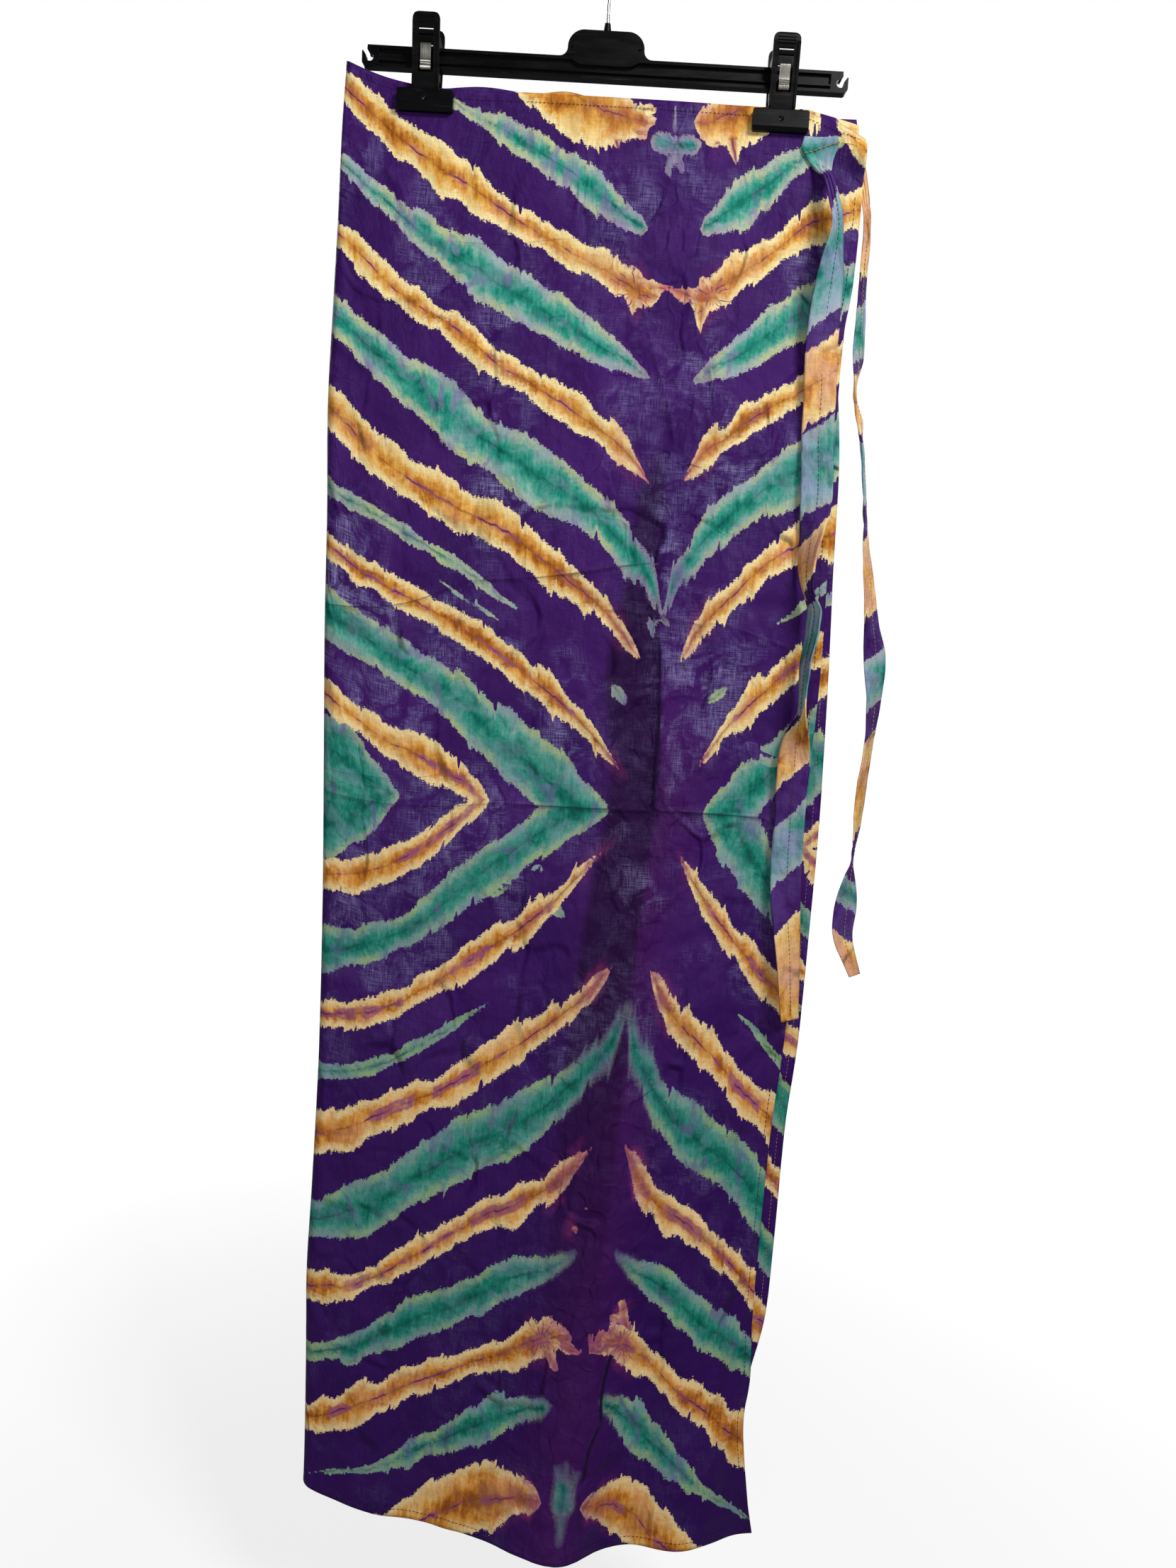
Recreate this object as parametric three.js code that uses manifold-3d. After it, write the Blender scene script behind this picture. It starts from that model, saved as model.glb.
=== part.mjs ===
// A wrap maxi skirt of tie-dyed cotton, folded in four and held flat by the two clips of a plastic
// trouser hanger. Millimetres, +Z up, the front of the skirt faces -Y, and +X is to the right.
// The origin is the inside top of the hanger's hook, where it sits on a rail.
import * as THREE from "three";
import { mergeVertices } from "three/addons/utils/BufferGeometryUtils.js";
import Module from "manifold-3d";

const wasm = await Module();
wasm.setup();

// ---------------------------------------------------------------- driving dimensions

const SEAM_GAP = 0.3; // what parted pieces keep between them

const CLOTH = {
  length: 1140, // waist to hem, the whole width of a 115 cm cloth less its hems
  waistZ: -128, // height of the waist edge between the clips
  wall: 1.0,
  hemWall: 1.6, // where a hem doubles the cloth
  hem: 12,
};

// Where the four layers lie, front to back: pinched between the clips, and hanging open below.
const LAYERS = {
  frontWrap: { pinched: -1.95, open: -9.0 },
  underWrap: { pinched: -0.65, open: -6.5 },
  innerBack: { pinched: 0.65, open: 6.5 },
  outerBack: { pinched: 1.95, open: 9.0 },
};

// Outline of the folded cloth: a row for each distance below the waist.
// leftFold: x of the outer fold; wrapEdge and underEdge: x of the two free edges;
// rightFold: x of the fold that joins the two back layers.
const OUTLINE = [
  { below: 0, leftFold: -193, wrapEdge: 197, underEdge: 192, rightFold: 171 },
  { below: 50, leftFold: -195, wrapEdge: 198, underEdge: 193, rightFold: 173 },
  { below: 120, leftFold: -196, wrapEdge: 196, underEdge: 193, rightFold: 176 },
  { below: 160, leftFold: -197, wrapEdge: 191.5, underEdge: 188, rightFold: 178 },
  { below: 250, leftFold: -199, wrapEdge: 191, underEdge: 196, rightFold: 180 },
  { below: 330, leftFold: -197, wrapEdge: 193, underEdge: 198, rightFold: 181 },
  { below: 420, leftFold: -196, wrapEdge: 194, underEdge: 201, rightFold: 182 },
  { below: 535, leftFold: -193, wrapEdge: 190, underEdge: 203, rightFold: 182 },
  { below: 620, leftFold: -191, wrapEdge: 189, underEdge: 202, rightFold: 180 },
  { below: 710, leftFold: -190, wrapEdge: 188, underEdge: 200, rightFold: 178 },
  { below: 780, leftFold: -190, wrapEdge: 183, underEdge: 195, rightFold: 175 },
  { below: 880, leftFold: -192, wrapEdge: 180, underEdge: 193, rightFold: 172 },
  { below: 950, leftFold: -194, wrapEdge: 179, underEdge: 190, rightFold: 170 },
  { below: 1000, leftFold: -193, wrapEdge: 181, underEdge: 180, rightFold: 169 },
  { below: 1040, leftFold: -192, wrapEdge: 178, underEdge: 176, rightFold: 168 },
  { below: 1110, leftFold: -191, wrapEdge: 187, underEdge: 181, rightFold: 170 },
  { below: 1140, leftFold: -191, wrapEdge: 193, underEdge: 184, rightFold: 172 },
];

// The centre pleat comes forward towards the hem: a row for each distance below the waist.
// crestX, crest: where its crest runs and how far forward; shelf: the softer wave to its right.
const PLEAT = [
  { below: 0, crestX: 56, crest: 0, shelf: 0 },
  { below: 250, crestX: 67, crest: 2, shelf: 0 },
  { below: 540, crestX: 76, crest: 7, shelf: 1 },
  { below: 590, crestX: 66, crest: 9, shelf: 2 },
  { below: 700, crestX: 60, crest: 14, shelf: 4 },
  { below: 830, crestX: 52, crest: 23, shelf: 8 },
  { below: 970, crestX: 43, crest: 37, shelf: 15 },
  { below: 1140, crestX: 28, crest: 58, shelf: 25 },
];
const PLEAT_LEFT = 72; // half width of the pleat's flank towards the left fold
const PLEAT_RIGHT = 42; // and towards the free edges
const SHELF = { x: 126, half: 44 };

const LEFT_LIFT = { from: -110, to: -193, height: 16 }; // the left corner stands up
const CORNER = { from: 153, to: 197, droop: 19, lasting: 5, forward: 9, deep: 34 };
const BACK_PEEKS = [
  // where the outer back's waist edge stands above the front one
  { x: -88, half: 34, height: 5 },
  { x: -28, half: 20, height: 5.5 },
];

const BAR = { half: 181, top: -100.5, bottom: -115.5, depth: 8, web: 2.6, flange: 2.2 };
const BOSS = { width: 57, top: -81.5, bottom: -106, pinX: 25, pinZ: -94, pinRadius: 1.0, fillet: 6 };
const NUB = { top: -75, baseRadius: 3.7, topRadius: 2.2, bore: 1.5 };
const END_NOTCH = { x: 175.4, z: -108.9, radius: 3.1, mouth: 2.8, lean: Math.PI / 5 };
const END_LIP = { x: 174.8, z: -103, radius: 2.4 };
const HOOK = { wire: 1.2, inner: 20, stemEnd: -87.7, start: -45, end: 200, step: 17.5 };

const CLIP = {
  x: 132.5, // each clip's centre line, left and right of the hook
  lever: 20,
  leverTop: -80,
  padWidth: 42,
  padTop: -130.8,
  padBottom: -146,
  padFace: 2.75, // the gripping face's distance from the middle of the cloth
  windowWidth: 10.8,
  windowTop: -95,
  windowBottom: -119.7,
  slotTop: -90.5,
  slotHeight: 1.7,
  cheekIn: 7.4,
  cheekOut: 9.2,
  dimple: 2.1,
};
const SPRING = { width: 7.8, gauge: 0.6 };

const TIE = { wall: 1.4 };
const SEWN_GAP = 0.65; // between a tie's root and the panel it is sewn to, whose grids differ
// Each tie: a row for each height, its middle, how far it is turned edge-on, and its own width.
const FRONT_TIE = [
  { z: -147.5, x: 163.5, y: 0, turn: 0, width: 24 },
  { z: -156, x: 163, y: 0, turn: 0, width: 26 },
  { z: -165, x: 165, y: 0, turn: 0, width: 18 },
  { z: -179, x: 170, y: -14, turn: 10, width: 9 },
  { z: -196, x: 175, y: -18, turn: 30, width: 11 },
  { z: -215, x: 178, y: -21, turn: 55, width: 18 },
  { z: -245, x: 176.5, y: -21, turn: 35, width: 24 },
  { z: -275, x: 174.5, y: -19, turn: 14, width: 24 },
  { z: -305, x: 174, y: -18, turn: 0, width: 24 },
  { z: -340, x: 175.5, y: -18, turn: -8, width: 24 },
  { z: -368, x: 176, y: -18, turn: -18, width: 24 },
  { z: -410, x: 178.5, y: -19, turn: -10, width: 24 },
  { z: -440, x: 176.5, y: -23, turn: -48, width: 22 },
  { z: -468, x: 174.5, y: -25, turn: -68, width: 22 },
  { z: -484, x: 177, y: -26, turn: -78, width: 20 },
  { z: -499, x: 183, y: -26, turn: -70, width: 20 },
  { z: -541, x: 179, y: -26, turn: -80, width: 22 },
  { z: -576, x: 178.5, y: -25, turn: -84, width: 22 },
  { z: -598, x: 177, y: -22, turn: -42, width: 24 },
  { z: -619, x: 176.5, y: -20, turn: -12, width: 24 },
  { z: -659, x: 177, y: -19, turn: -22, width: 24 },
  { z: -714, x: 178, y: -19, turn: 0, width: 24 },
  { z: -769, x: 184, y: -20, turn: 28, width: 23 },
  { z: -821, x: 189, y: -21, turn: 40, width: 21 },
];
const BACK_TIE = [
  { z: -132, x: 184, y: 0, turn: 0, width: 12 },
  { z: -141, x: 185, y: 0, turn: 0, width: 14 },
  { z: -156, x: 190, y: 0, turn: 0, width: 13 },
  { z: -178, x: 200, y: 4, turn: 20, width: 8 },
  { z: -205, x: 205, y: 5, turn: 50, width: 8 },
  { z: -248, x: 205, y: 5, turn: 55, width: 11 },
  { z: -280, x: 206, y: 5, turn: 48, width: 14 },
  { z: -304, x: 206.5, y: 5, turn: 52, width: 16 },
  { z: -330, x: 206.5, y: 5, turn: 80, width: 16 },
  { z: -347, x: 211, y: 5, turn: 60, width: 17 },
  { z: -368, x: 215, y: 5, turn: 80, width: 16 },
  { z: -388, x: 218, y: 5, turn: 74, width: 16 },
  { z: -422, x: 222, y: 5, turn: 82, width: 16 },
  { z: -451, x: 226, y: 5, turn: 62, width: 16 },
  { z: -476, x: 230, y: 5, turn: 50, width: 16 },
  { z: -506, x: 234, y: 5, turn: 38, width: 18 },
  { z: -528, x: 238, y: 5, turn: 20, width: 20 },
  { z: -563, x: 240.5, y: 5, turn: 45, width: 21 },
  { z: -602, x: 239.5, y: 5, turn: 60, width: 21 },
  { z: -636, x: 237, y: 5, turn: 58, width: 21 },
  { z: -669, x: 236, y: 5, turn: 66, width: 20 },
  { z: -688, x: 234.5, y: 5, turn: 82, width: 20 },
  { z: -706, x: 233, y: 5, turn: 60, width: 22 },
  { z: -731, x: 232, y: 5, turn: 30, width: 23 },
  { z: -757, x: 232, y: 5, turn: 36, width: 22 },
  { z: -788, x: 244, y: 4, turn: 50, width: 18 },
];

const SQUARE_END = 0.12; // a last short turn of a fold, in radians, that leaves its end square

// Cloth grid: columns across, between the left fold and the last columns before each free edge,
// and rows down, closer where the waist is clipped and where the pleat opens.
const COLUMNS = [-166, -157, -134, -108, -78, -46, -16, 8, 26, 42, 58, 76, 94, 108, 134, 158];
const ROWS = [
  0, 6, 14, 22, 34, 60, 110, 180, 260, 340, 420, 500, 565, 630, 700, 770, 840, 905, 960, 1015, 1065,
  1100, 1128, 1140,
];

// ---------------------------------------------------------------- materials

function finish(color, roughness, metalness = 0) {
  return new THREE.MeshStandardMaterial({ color, roughness, metalness });
}
const dyedCotton = finish(0x3a1d6e, 0.75);
const dyedTie = finish(0x7f6f8f, 0.78);
const blackPlastic = finish(0x14151a, 0.35);
const brightSteel = finish(0xb9b6ac, 0.28, 1);

const skirt = new THREE.Group();

function addMesh(name, geometry, material) {
  const mesh = new THREE.Mesh(geometry, material);
  mesh.name = name;
  skirt.add(mesh);
  return mesh;
}

// ---------------------------------------------------------------- small helpers

// Smooth step from 0 to 1 between two values.
function ease(from, to, value) {
  return THREE.MathUtils.smoothstep((value - from) / (to - from), 0, 1);
}

// A bell that is 1 at its middle and falls to half at its half width.
function bell(distance, half) {
  return 1 / (1 + (distance / half) ** 2);
}

// The value of one column of a table at a position of its key, joined by smooth cubic stretches.
function along(table, key, column, at) {
  const last = table.length - 1;
  let row = table.findIndex((entry) => Math.abs(entry[key]) > Math.abs(at)) - 1;
  if (row < 0) row = Math.abs(at) < Math.abs(table[0][key]) ? 0 : last - 1;
  const [before, after] = [table[row], table[row + 1]];
  const part = THREE.MathUtils.clamp((at - before[key]) / (after[key] - before[key]), 0, 1);
  const slopeAt = (index) => {
    const [low, high] = [table[Math.max(index - 1, 0)], table[Math.min(index + 1, last)]];
    return (high[column] - low[column]) / (high[key] - low[key]);
  };
  const span = after[key] - before[key];
  const square = part * part;
  const cube = square * part;
  return (
    (2 * cube - 3 * square + 1) * before[column] +
    (cube - 2 * square + part) * span * slopeAt(row) +
    (3 * square - 2 * cube) * after[column] +
    (cube - square) * span * slopeAt(row + 1)
  );
}

// A closed wall round a grid of middle points: the points move half the wall out and in along
// the grid's own normals, and four rims close it.
function wallGeometry(grid, wallAt) {
  const [rows, columns] = [grid.length, grid[0].length];
  const positions = [];
  for (const side of [1, -1]) {
    for (let r = 0; r < rows; r++) {
      for (let c = 0; c < columns; c++) {
        const across = grid[r][Math.min(c + 1, columns - 1)].clone().sub(grid[r][Math.max(c - 1, 0)]);
        const down = grid[Math.min(r + 1, rows - 1)][c].clone().sub(grid[Math.max(r - 1, 0)][c]);
        const normal = across.cross(down).normalize();
        const point = grid[r][c].clone().addScaledVector(normal, (side * wallAt(r, c)) / 2);
        positions.push(point.x, point.y, point.z);
      }
    }
  }
  const index = [];
  const at = (side, r, c) => (side ? rows * columns : 0) + r * columns + c;
  const quad = (a, b, c, d) => index.push(a, b, c, a, c, d);
  for (let r = 0; r + 1 < rows; r++) {
    for (let c = 0; c + 1 < columns; c++) {
      quad(at(0, r, c), at(0, r, c + 1), at(0, r + 1, c + 1), at(0, r + 1, c));
      quad(at(1, r, c), at(1, r + 1, c), at(1, r + 1, c + 1), at(1, r, c + 1));
    }
    quad(at(0, r, 0), at(0, r + 1, 0), at(1, r + 1, 0), at(1, r, 0));
    const end = columns - 1;
    quad(at(0, r, end), at(1, r, end), at(1, r + 1, end), at(0, r + 1, end));
  }
  for (let c = 0; c + 1 < columns; c++) {
    const end = rows - 1;
    quad(at(0, 0, c), at(1, 0, c), at(1, 0, c + 1), at(0, 0, c + 1));
    quad(at(0, end, c), at(0, end, c + 1), at(1, end, c + 1), at(1, end, c));
  }
  return outward(positions, index);
}

// A geometry from points and triangles, turned so that its faces point out.
function outward(positions, index) {
  let volume = 0;
  const corner = (i) => new THREE.Vector3().fromArray(positions, 3 * index[i]);
  for (let i = 0; i < index.length; i += 3) {
    volume += corner(i).dot(corner(i + 1).cross(corner(i + 2)));
  }
  if (volume < 0) {
    for (let i = 0; i < index.length; i += 3) {
      [index[i + 1], index[i + 2]] = [index[i + 2], index[i + 1]];
    }
  }
  const geometry = new THREE.BufferGeometry();
  geometry.setAttribute("position", new THREE.Float32BufferAttribute(positions, 3));
  geometry.setIndex(index);
  return geometry;
}

// ---------------------------------------------------------------- how the cloth hangs

// How far open the layers hang, 0 where the clips pinch them and 1 well below.
function openness(x, below) {
  const fromClip = Math.max(Math.abs(Math.abs(x) - CLIP.x) - 26, 0);
  const atWaist = 0.24 * (1 - Math.exp(-((fromClip / 34) ** 2)));
  return atWaist + (1 - atWaist) * ease(22, 210, below);
}

// How far forward of its plane the folded cloth comes: the centre pleat and its shelf.
function forward(x, below) {
  const crestX = along(PLEAT, "below", "crestX", below);
  const crest = along(PLEAT, "below", "crest", below);
  const shelf = along(PLEAT, "below", "shelf", below);
  const flank = x < crestX ? PLEAT_LEFT : PLEAT_RIGHT;
  const held = ease(-204, -120, x) * ease(206, 150, x);
  const pleat = crest * bell(x - crestX, flank);
  const wave = x > crestX ? shelf * bell(x - SHELF.x, SHELF.half) * ease(crestX, SHELF.x, x) : 0;
  return held * (pleat + wave) * ease(22, 120, below);
}

// Height of a point of the cloth: the left corner stands up and the right corner droops.
function heightOf(x, below, droopShare = 1) {
  const lift = LEFT_LIFT.height * Math.max((x - LEFT_LIFT.from) / (LEFT_LIFT.to - LEFT_LIFT.from), 0) ** 2.2;
  const outer = Math.max((x - CORNER.from) / (CORNER.to - CORNER.from), 0) ** 1.2;
  const droop = THREE.MathUtils.lerp(CORNER.droop * droopShare, CORNER.lasting, ease(0, 120, below));
  return CLOTH.waistZ - below + lift - outer * droop;
}

// The drooping corner of the front wrap also rolls forward over the cloth below it.
function cornerRoll(x, below) {
  const roll = ease(CORNER.from + 8, CORNER.to, x) * CORNER.forward;
  return roll * ease(0, 9, below) * ease(CORNER.deep, 16, below);
}

function layerY(layer, x, below) {
  const { pinched, open } = LAYERS[layer];
  return THREE.MathUtils.lerp(pinched, open, openness(x, below)) - forward(x, below);
}

// ---------------------------------------------------------------- cloth panels

// The layer that each one meets round the left fold.
const FOLD_PARTNER = {
  frontWrap: "outerBack",
  underWrap: "innerBack",
  innerBack: "underWrap",
  outerBack: "frontWrap",
};

// One row of middle points of a layer, from the left fold to its right end. The left fold is a
// half circle from the layer to its partner behind or in front; each layer has its own quarter.
function panelRow(layer, below) {
  const foldX = along(OUTLINE, "below", "leftFold", below);
  const outerRadius = (layerY("outerBack", foldX + 9, below) - layerY("frontWrap", foldX + 9, below)) / 2;
  const startX = foldX + CLOTH.wall / 2 + outerRadius;
  const own = layerY(layer, startX, below);
  const middle = (own + layerY(FOLD_PARTNER[layer], startX, below)) / 2;
  const radius = Math.abs(own - middle);
  const turnTo = Math.sign(own - middle);
  const seam = SEAM_GAP / 2 / Math.max(radius, 0.5);
  const wrap = layer === "frontWrap" || layer === "underWrap";
  const droopShare = layer === "underWrap" ? 0.55 : 1;
  const row = [];
  const put = (x, y) => {
    const peek = layer !== "outerBack" ? 0
      : BACK_PEEKS.reduce((sum, p) => sum + p.height * Math.exp(-(((x - p.x) / p.half) ** 2)), 0);
    row.push(new THREE.Vector3(x, y, heightOf(x, below, droopShare) + peek * ease(90, 10, below)));
  };
  for (const turn of [seam, seam + SQUARE_END, Math.PI / 5, Math.PI / 2.9]) {
    put(startX - radius * Math.cos(turn), middle + turnTo * radius * Math.sin(turn));
  }
  put(startX, own);
  for (const x of COLUMNS) put(x, layerY(layer, x, below));
  const lastColumn = COLUMNS.at(-1);
  if (wrap) {
    const edge = along(OUTLINE, "below", layer === "frontWrap" ? "wrapEdge" : "underEdge", below);
    for (const part of [1 / 3, 2 / 3, 1]) {
      const x = THREE.MathUtils.lerp(lastColumn, edge, part);
      put(x, layerY(layer, x, below) - (layer === "frontWrap" ? cornerRoll(x, below) : 0));
    }
  } else {
    const foldEnd = along(OUTLINE, "below", "rightFold", below);
    const [front, back] = [layerY("innerBack", foldEnd, below), layerY("outerBack", foldEnd, below)];
    const foldMiddle = (front + back) / 2;
    const foldRadius = (back - front) / 2;
    const side = layer === "outerBack" ? 1 : -1;
    const turnX = foldEnd - foldRadius;
    put(turnX, foldMiddle + side * foldRadius);
    const seamTurn = Math.PI / 2 - SEAM_GAP / 2 / foldRadius;
    for (const turn of [Math.PI / 4, seamTurn - SQUARE_END, seamTurn]) {
      put(turnX + foldRadius * Math.sin(turn), foldMiddle + side * foldRadius * Math.cos(turn));
    }
  }
  return row;
}

function clothPanel(name, layer) {
  const grid = ROWS.map((below) => panelRow(layer, below));
  const lastColumn = grid[0].length - 1;
  const free = layer === "frontWrap" || layer === "underWrap";
  const wallAt = (r, c) => {
    const inHem = ROWS[r] >= CLOTH.length - CLOTH.hem;
    const inSideHem = free && c === lastColumn && ROWS[r] > ROWS[5];
    return inHem || inSideHem ? CLOTH.hemWall : CLOTH.wall;
  };
  addMesh(name, wallGeometry(grid, wallAt), dyedCotton);
}

clothPanel("front_wrap_panel", "frontWrap");
clothPanel("under_wrap_panel", "underWrap");
clothPanel("inner_back_panel", "innerBack");
clothPanel("outer_back_panel", "outerBack");

// ---------------------------------------------------------------- ties

// A flat strip through the rows of its table, turned about its own length. The first rows are
// sewn to a panel's corner, and there they follow that panel, a seam's gap clear of it.
function tie(name, table, layer, side, sewnRows) {
  const steps = 44;
  const clear = side * (CLOTH.wall / 2 + TIE.wall / 2 + SEWN_GAP);
  const [top, sewn, end] = [table[0].z, table[sewnRows - 1].z, table.at(-1).z];
  const grid = [];
  for (let step = 0; step <= steps; step++) {
    const z = top + ((end - top) * step) / steps;
    const [x, y, turn, width] = ["x", "y", "turn", "width"].map((column) => along(table, "z", column, z));
    const angle = THREE.MathUtils.degToRad(turn);
    const leave = ease(sewn, table[sewnRows].z, z);
    const row = [];
    for (const across of [-0.5, 0, 0.5]) {
      const px = x + across * width * Math.cos(angle);
      const free = y + across * width * Math.sin(angle);
      const below = Math.max(heightOf(px, 0, 1) - z, 0);
      const roll = layer === "frontWrap" ? cornerRoll(px, below) : 0;
      const onPanel = layerY(layer, px, below) - roll + clear;
      row.push(new THREE.Vector3(px, THREE.MathUtils.lerp(onPanel, free, leave), z));
    }
    grid.push(row);
  }
  addMesh(name, wallGeometry(grid, () => TIE.wall), dyedTie);
}

tie("front_tie", FRONT_TIE, "frontWrap", -1, 3);
tie("back_tie", BACK_TIE, "underWrap", 1, 3);

// ---------------------------------------------------------------- solids that join and cut

function solid(geometry) {
  const bare = geometry.index ? geometry.toNonIndexed() : geometry;
  for (const extra of ["normal", "uv"]) bare.deleteAttribute(extra);
  const merged = mergeVertices(bare, 1e-4);
  return new wasm.Manifold(
    new wasm.Mesh({
      numProp: 3,
      vertProperties: new Float32Array(merged.attributes.position.array),
      triVerts: new Uint32Array(merged.index.array),
    }),
  );
}

function geometryOf(manifold) {
  const mesh = manifold.getMesh();
  const geometry = new THREE.BufferGeometry();
  geometry.setAttribute("position", new THREE.BufferAttribute(mesh.vertProperties, 3));
  geometry.setIndex(new THREE.BufferAttribute(mesh.triVerts, 1));
  return geometry;
}

// A front view outline (x, z) made solid, depth deep about y = 0.
function slab(shape, depth, curveSegments = 8) {
  const geometry = new THREE.ExtrudeGeometry(shape, { depth, bevelEnabled: false, curveSegments });
  return solid(geometry.rotateX(Math.PI / 2).translate(0, depth / 2, 0));
}

// A side view outline (y, z) made solid, width wide about x = 0.
function slice(points, width) {
  const shape = new THREE.Shape(points.map(([y, z]) => new THREE.Vector2(y, z)));
  const geometry = new THREE.ExtrudeGeometry(shape, { depth: width, bevelEnabled: false });
  return solid(geometry.rotateX(Math.PI / 2).rotateZ(Math.PI / 2).translate(-width / 2, 0, 0));
}

function block(low, high) {
  const size = high.map((value, i) => value - low[i]);
  const geometry = new THREE.BoxGeometry(...size);
  return solid(geometry.translate(...high.map((value, i) => (value + low[i]) / 2)));
}

// A rounded rectangle in (x, z).
function roundedShape(left, right, bottom, top, radius) {
  const shape = new THREE.Shape();
  shape.moveTo(left + radius, bottom);
  shape.lineTo(right - radius, bottom);
  shape.absarc(right - radius, bottom + radius, radius, -Math.PI / 2, 0, false);
  shape.absarc(right - radius, top - radius, radius, 0, Math.PI / 2, false);
  shape.absarc(left + radius, top - radius, radius, Math.PI / 2, Math.PI, false);
  shape.absarc(left + radius, bottom + radius, radius, Math.PI, 1.5 * Math.PI, false);
  return shape;
}

// A round bar along y at (x, z).
function dowel(x, z, radius, depth, sides = 16) {
  return solid(new THREE.CylinderGeometry(radius, radius, depth, sides).translate(x, 0, z));
}

// ---------------------------------------------------------------- hanger bar

// The boss's fillets run down to the bar: a square by each end less a round of the fillet.
function bossFillet(side) {
  const half = BOSS.width / 2;
  const x = side * (half + BOSS.fillet);
  const [inner, outer] = [side * (half - 4), x].sort((a, b) => a - b);
  const square = block([inner, -BAR.depth / 2, BAR.top - 1], [outer, BAR.depth / 2, BAR.top + BOSS.fillet]);
  return square.subtract(dowel(x, BAR.top + BOSS.fillet, BOSS.fillet, BAR.depth + 2, 24));
}

// The bar's end: a round notch with a slanted mouth under a small lip, for a loop or strap.
function endNotch(side) {
  const reach = BAR.depth + 2;
  const cut = dowel(side * END_NOTCH.x, END_NOTCH.z, END_NOTCH.radius, reach, 20);
  const mouth = solid(
    new THREE.BoxGeometry(END_NOTCH.mouth, reach, 12)
      .translate(0, 0, 6)
      .rotateY(side * END_NOTCH.lean)
      .translate(side * END_NOTCH.x, 0, END_NOTCH.z),
  );
  const corner = block(
    [Math.min(side * 177, side * 190), -reach / 2, -104.6],
    [Math.max(side * 177, side * 190), reach / 2, BAR.top + 2],
  );
  return cut.add(mouth).add(corner);
}

function hangerBar() {
  const boss = slab(
    roundedShape(-BOSS.width / 2, BOSS.width / 2, BOSS.bottom, BOSS.top, (BOSS.top - BOSS.bottom) / 2 - 0.01),
    BAR.depth,
    10,
  );
  let bar = slab(roundedShape(-BAR.half, BAR.half, BAR.bottom, BAR.top, 3.4), BAR.depth, 5).add(boss);
  for (const side of [-1, 1]) bar = bar.add(bossFillet(side));
  const recess = (BAR.depth - BAR.web) / 2;
  const upper = [BAR.top - BAR.flange, BAR.top - 9.6];
  const lower = [BAR.top - 10.6, BAR.bottom + BAR.flange];
  for (const face of [-1, 1]) {
    const [near, far] = [face * (BAR.web / 2), face * (BAR.web / 2 + recess + 1)].sort((a, b) => a - b);
    for (const [high, low] of [upper, lower]) {
      bar = bar.subtract(block([-168, near, low], [168, far, high]).subtract(boss));
    }
  }
  for (const side of [-1, 1]) {
    bar = bar.subtract(endNotch(side));
    bar = bar.add(dowel(side * END_LIP.x, END_LIP.z, END_LIP.radius, BAR.depth, 14));
    bar = bar.subtract(dowel(side * BOSS.pinX, BOSS.pinZ, BOSS.pinRadius, BAR.depth + 2, 10));
  }
  const nubHeight = NUB.top - BOSS.top + 4;
  const nub = new THREE.CylinderGeometry(NUB.topRadius, NUB.baseRadius, nubHeight, 16);
  bar = bar.add(solid(nub.rotateX(Math.PI / 2).translate(0, 0, NUB.top - nubHeight / 2)));
  const boreLength = NUB.top - HOOK.stemEnd + SEAM_GAP;
  const bore = new THREE.CylinderGeometry(NUB.bore, NUB.bore, boreLength + 2, 16);
  const boreMiddle = HOOK.stemEnd - SEAM_GAP + (boreLength + 2) / 2;
  return bar.subtract(solid(bore.rotateX(Math.PI / 2).translate(0, 0, boreMiddle)));
}

addMesh("hanger_bar", geometryOf(hangerBar()), blackPlastic);

// ---------------------------------------------------------------- hook

// A round wire: straight up from the bar, round the bottom of the loop and over the rail's seat.
function hookWire() {
  const radius = HOOK.inner + HOOK.wire;
  const points = [
    [0, HOOK.stemEnd],
    [0, -74],
    [0, -60],
    [0.6, -52],
    [4.4, -44.6],
  ];
  for (let turn = HOOK.start; turn <= HOOK.end; turn += HOOK.step) {
    const angle = THREE.MathUtils.degToRad(turn);
    points.push([radius * Math.cos(angle), radius * Math.sin(angle) - HOOK.inner]);
  }
  const path = new THREE.CatmullRomCurve3(points.map(([x, z]) => new THREE.Vector3(x, 0, z)));
  const section = new THREE.Shape().absarc(0, 0, HOOK.wire, 0, 2 * Math.PI);
  return new THREE.ExtrudeGeometry(section, { steps: 40, curveSegments: 4, extrudePath: path });
}

addMesh("hook_wire", hookWire(), brightSteel);

// ---------------------------------------------------------------- clips

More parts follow.
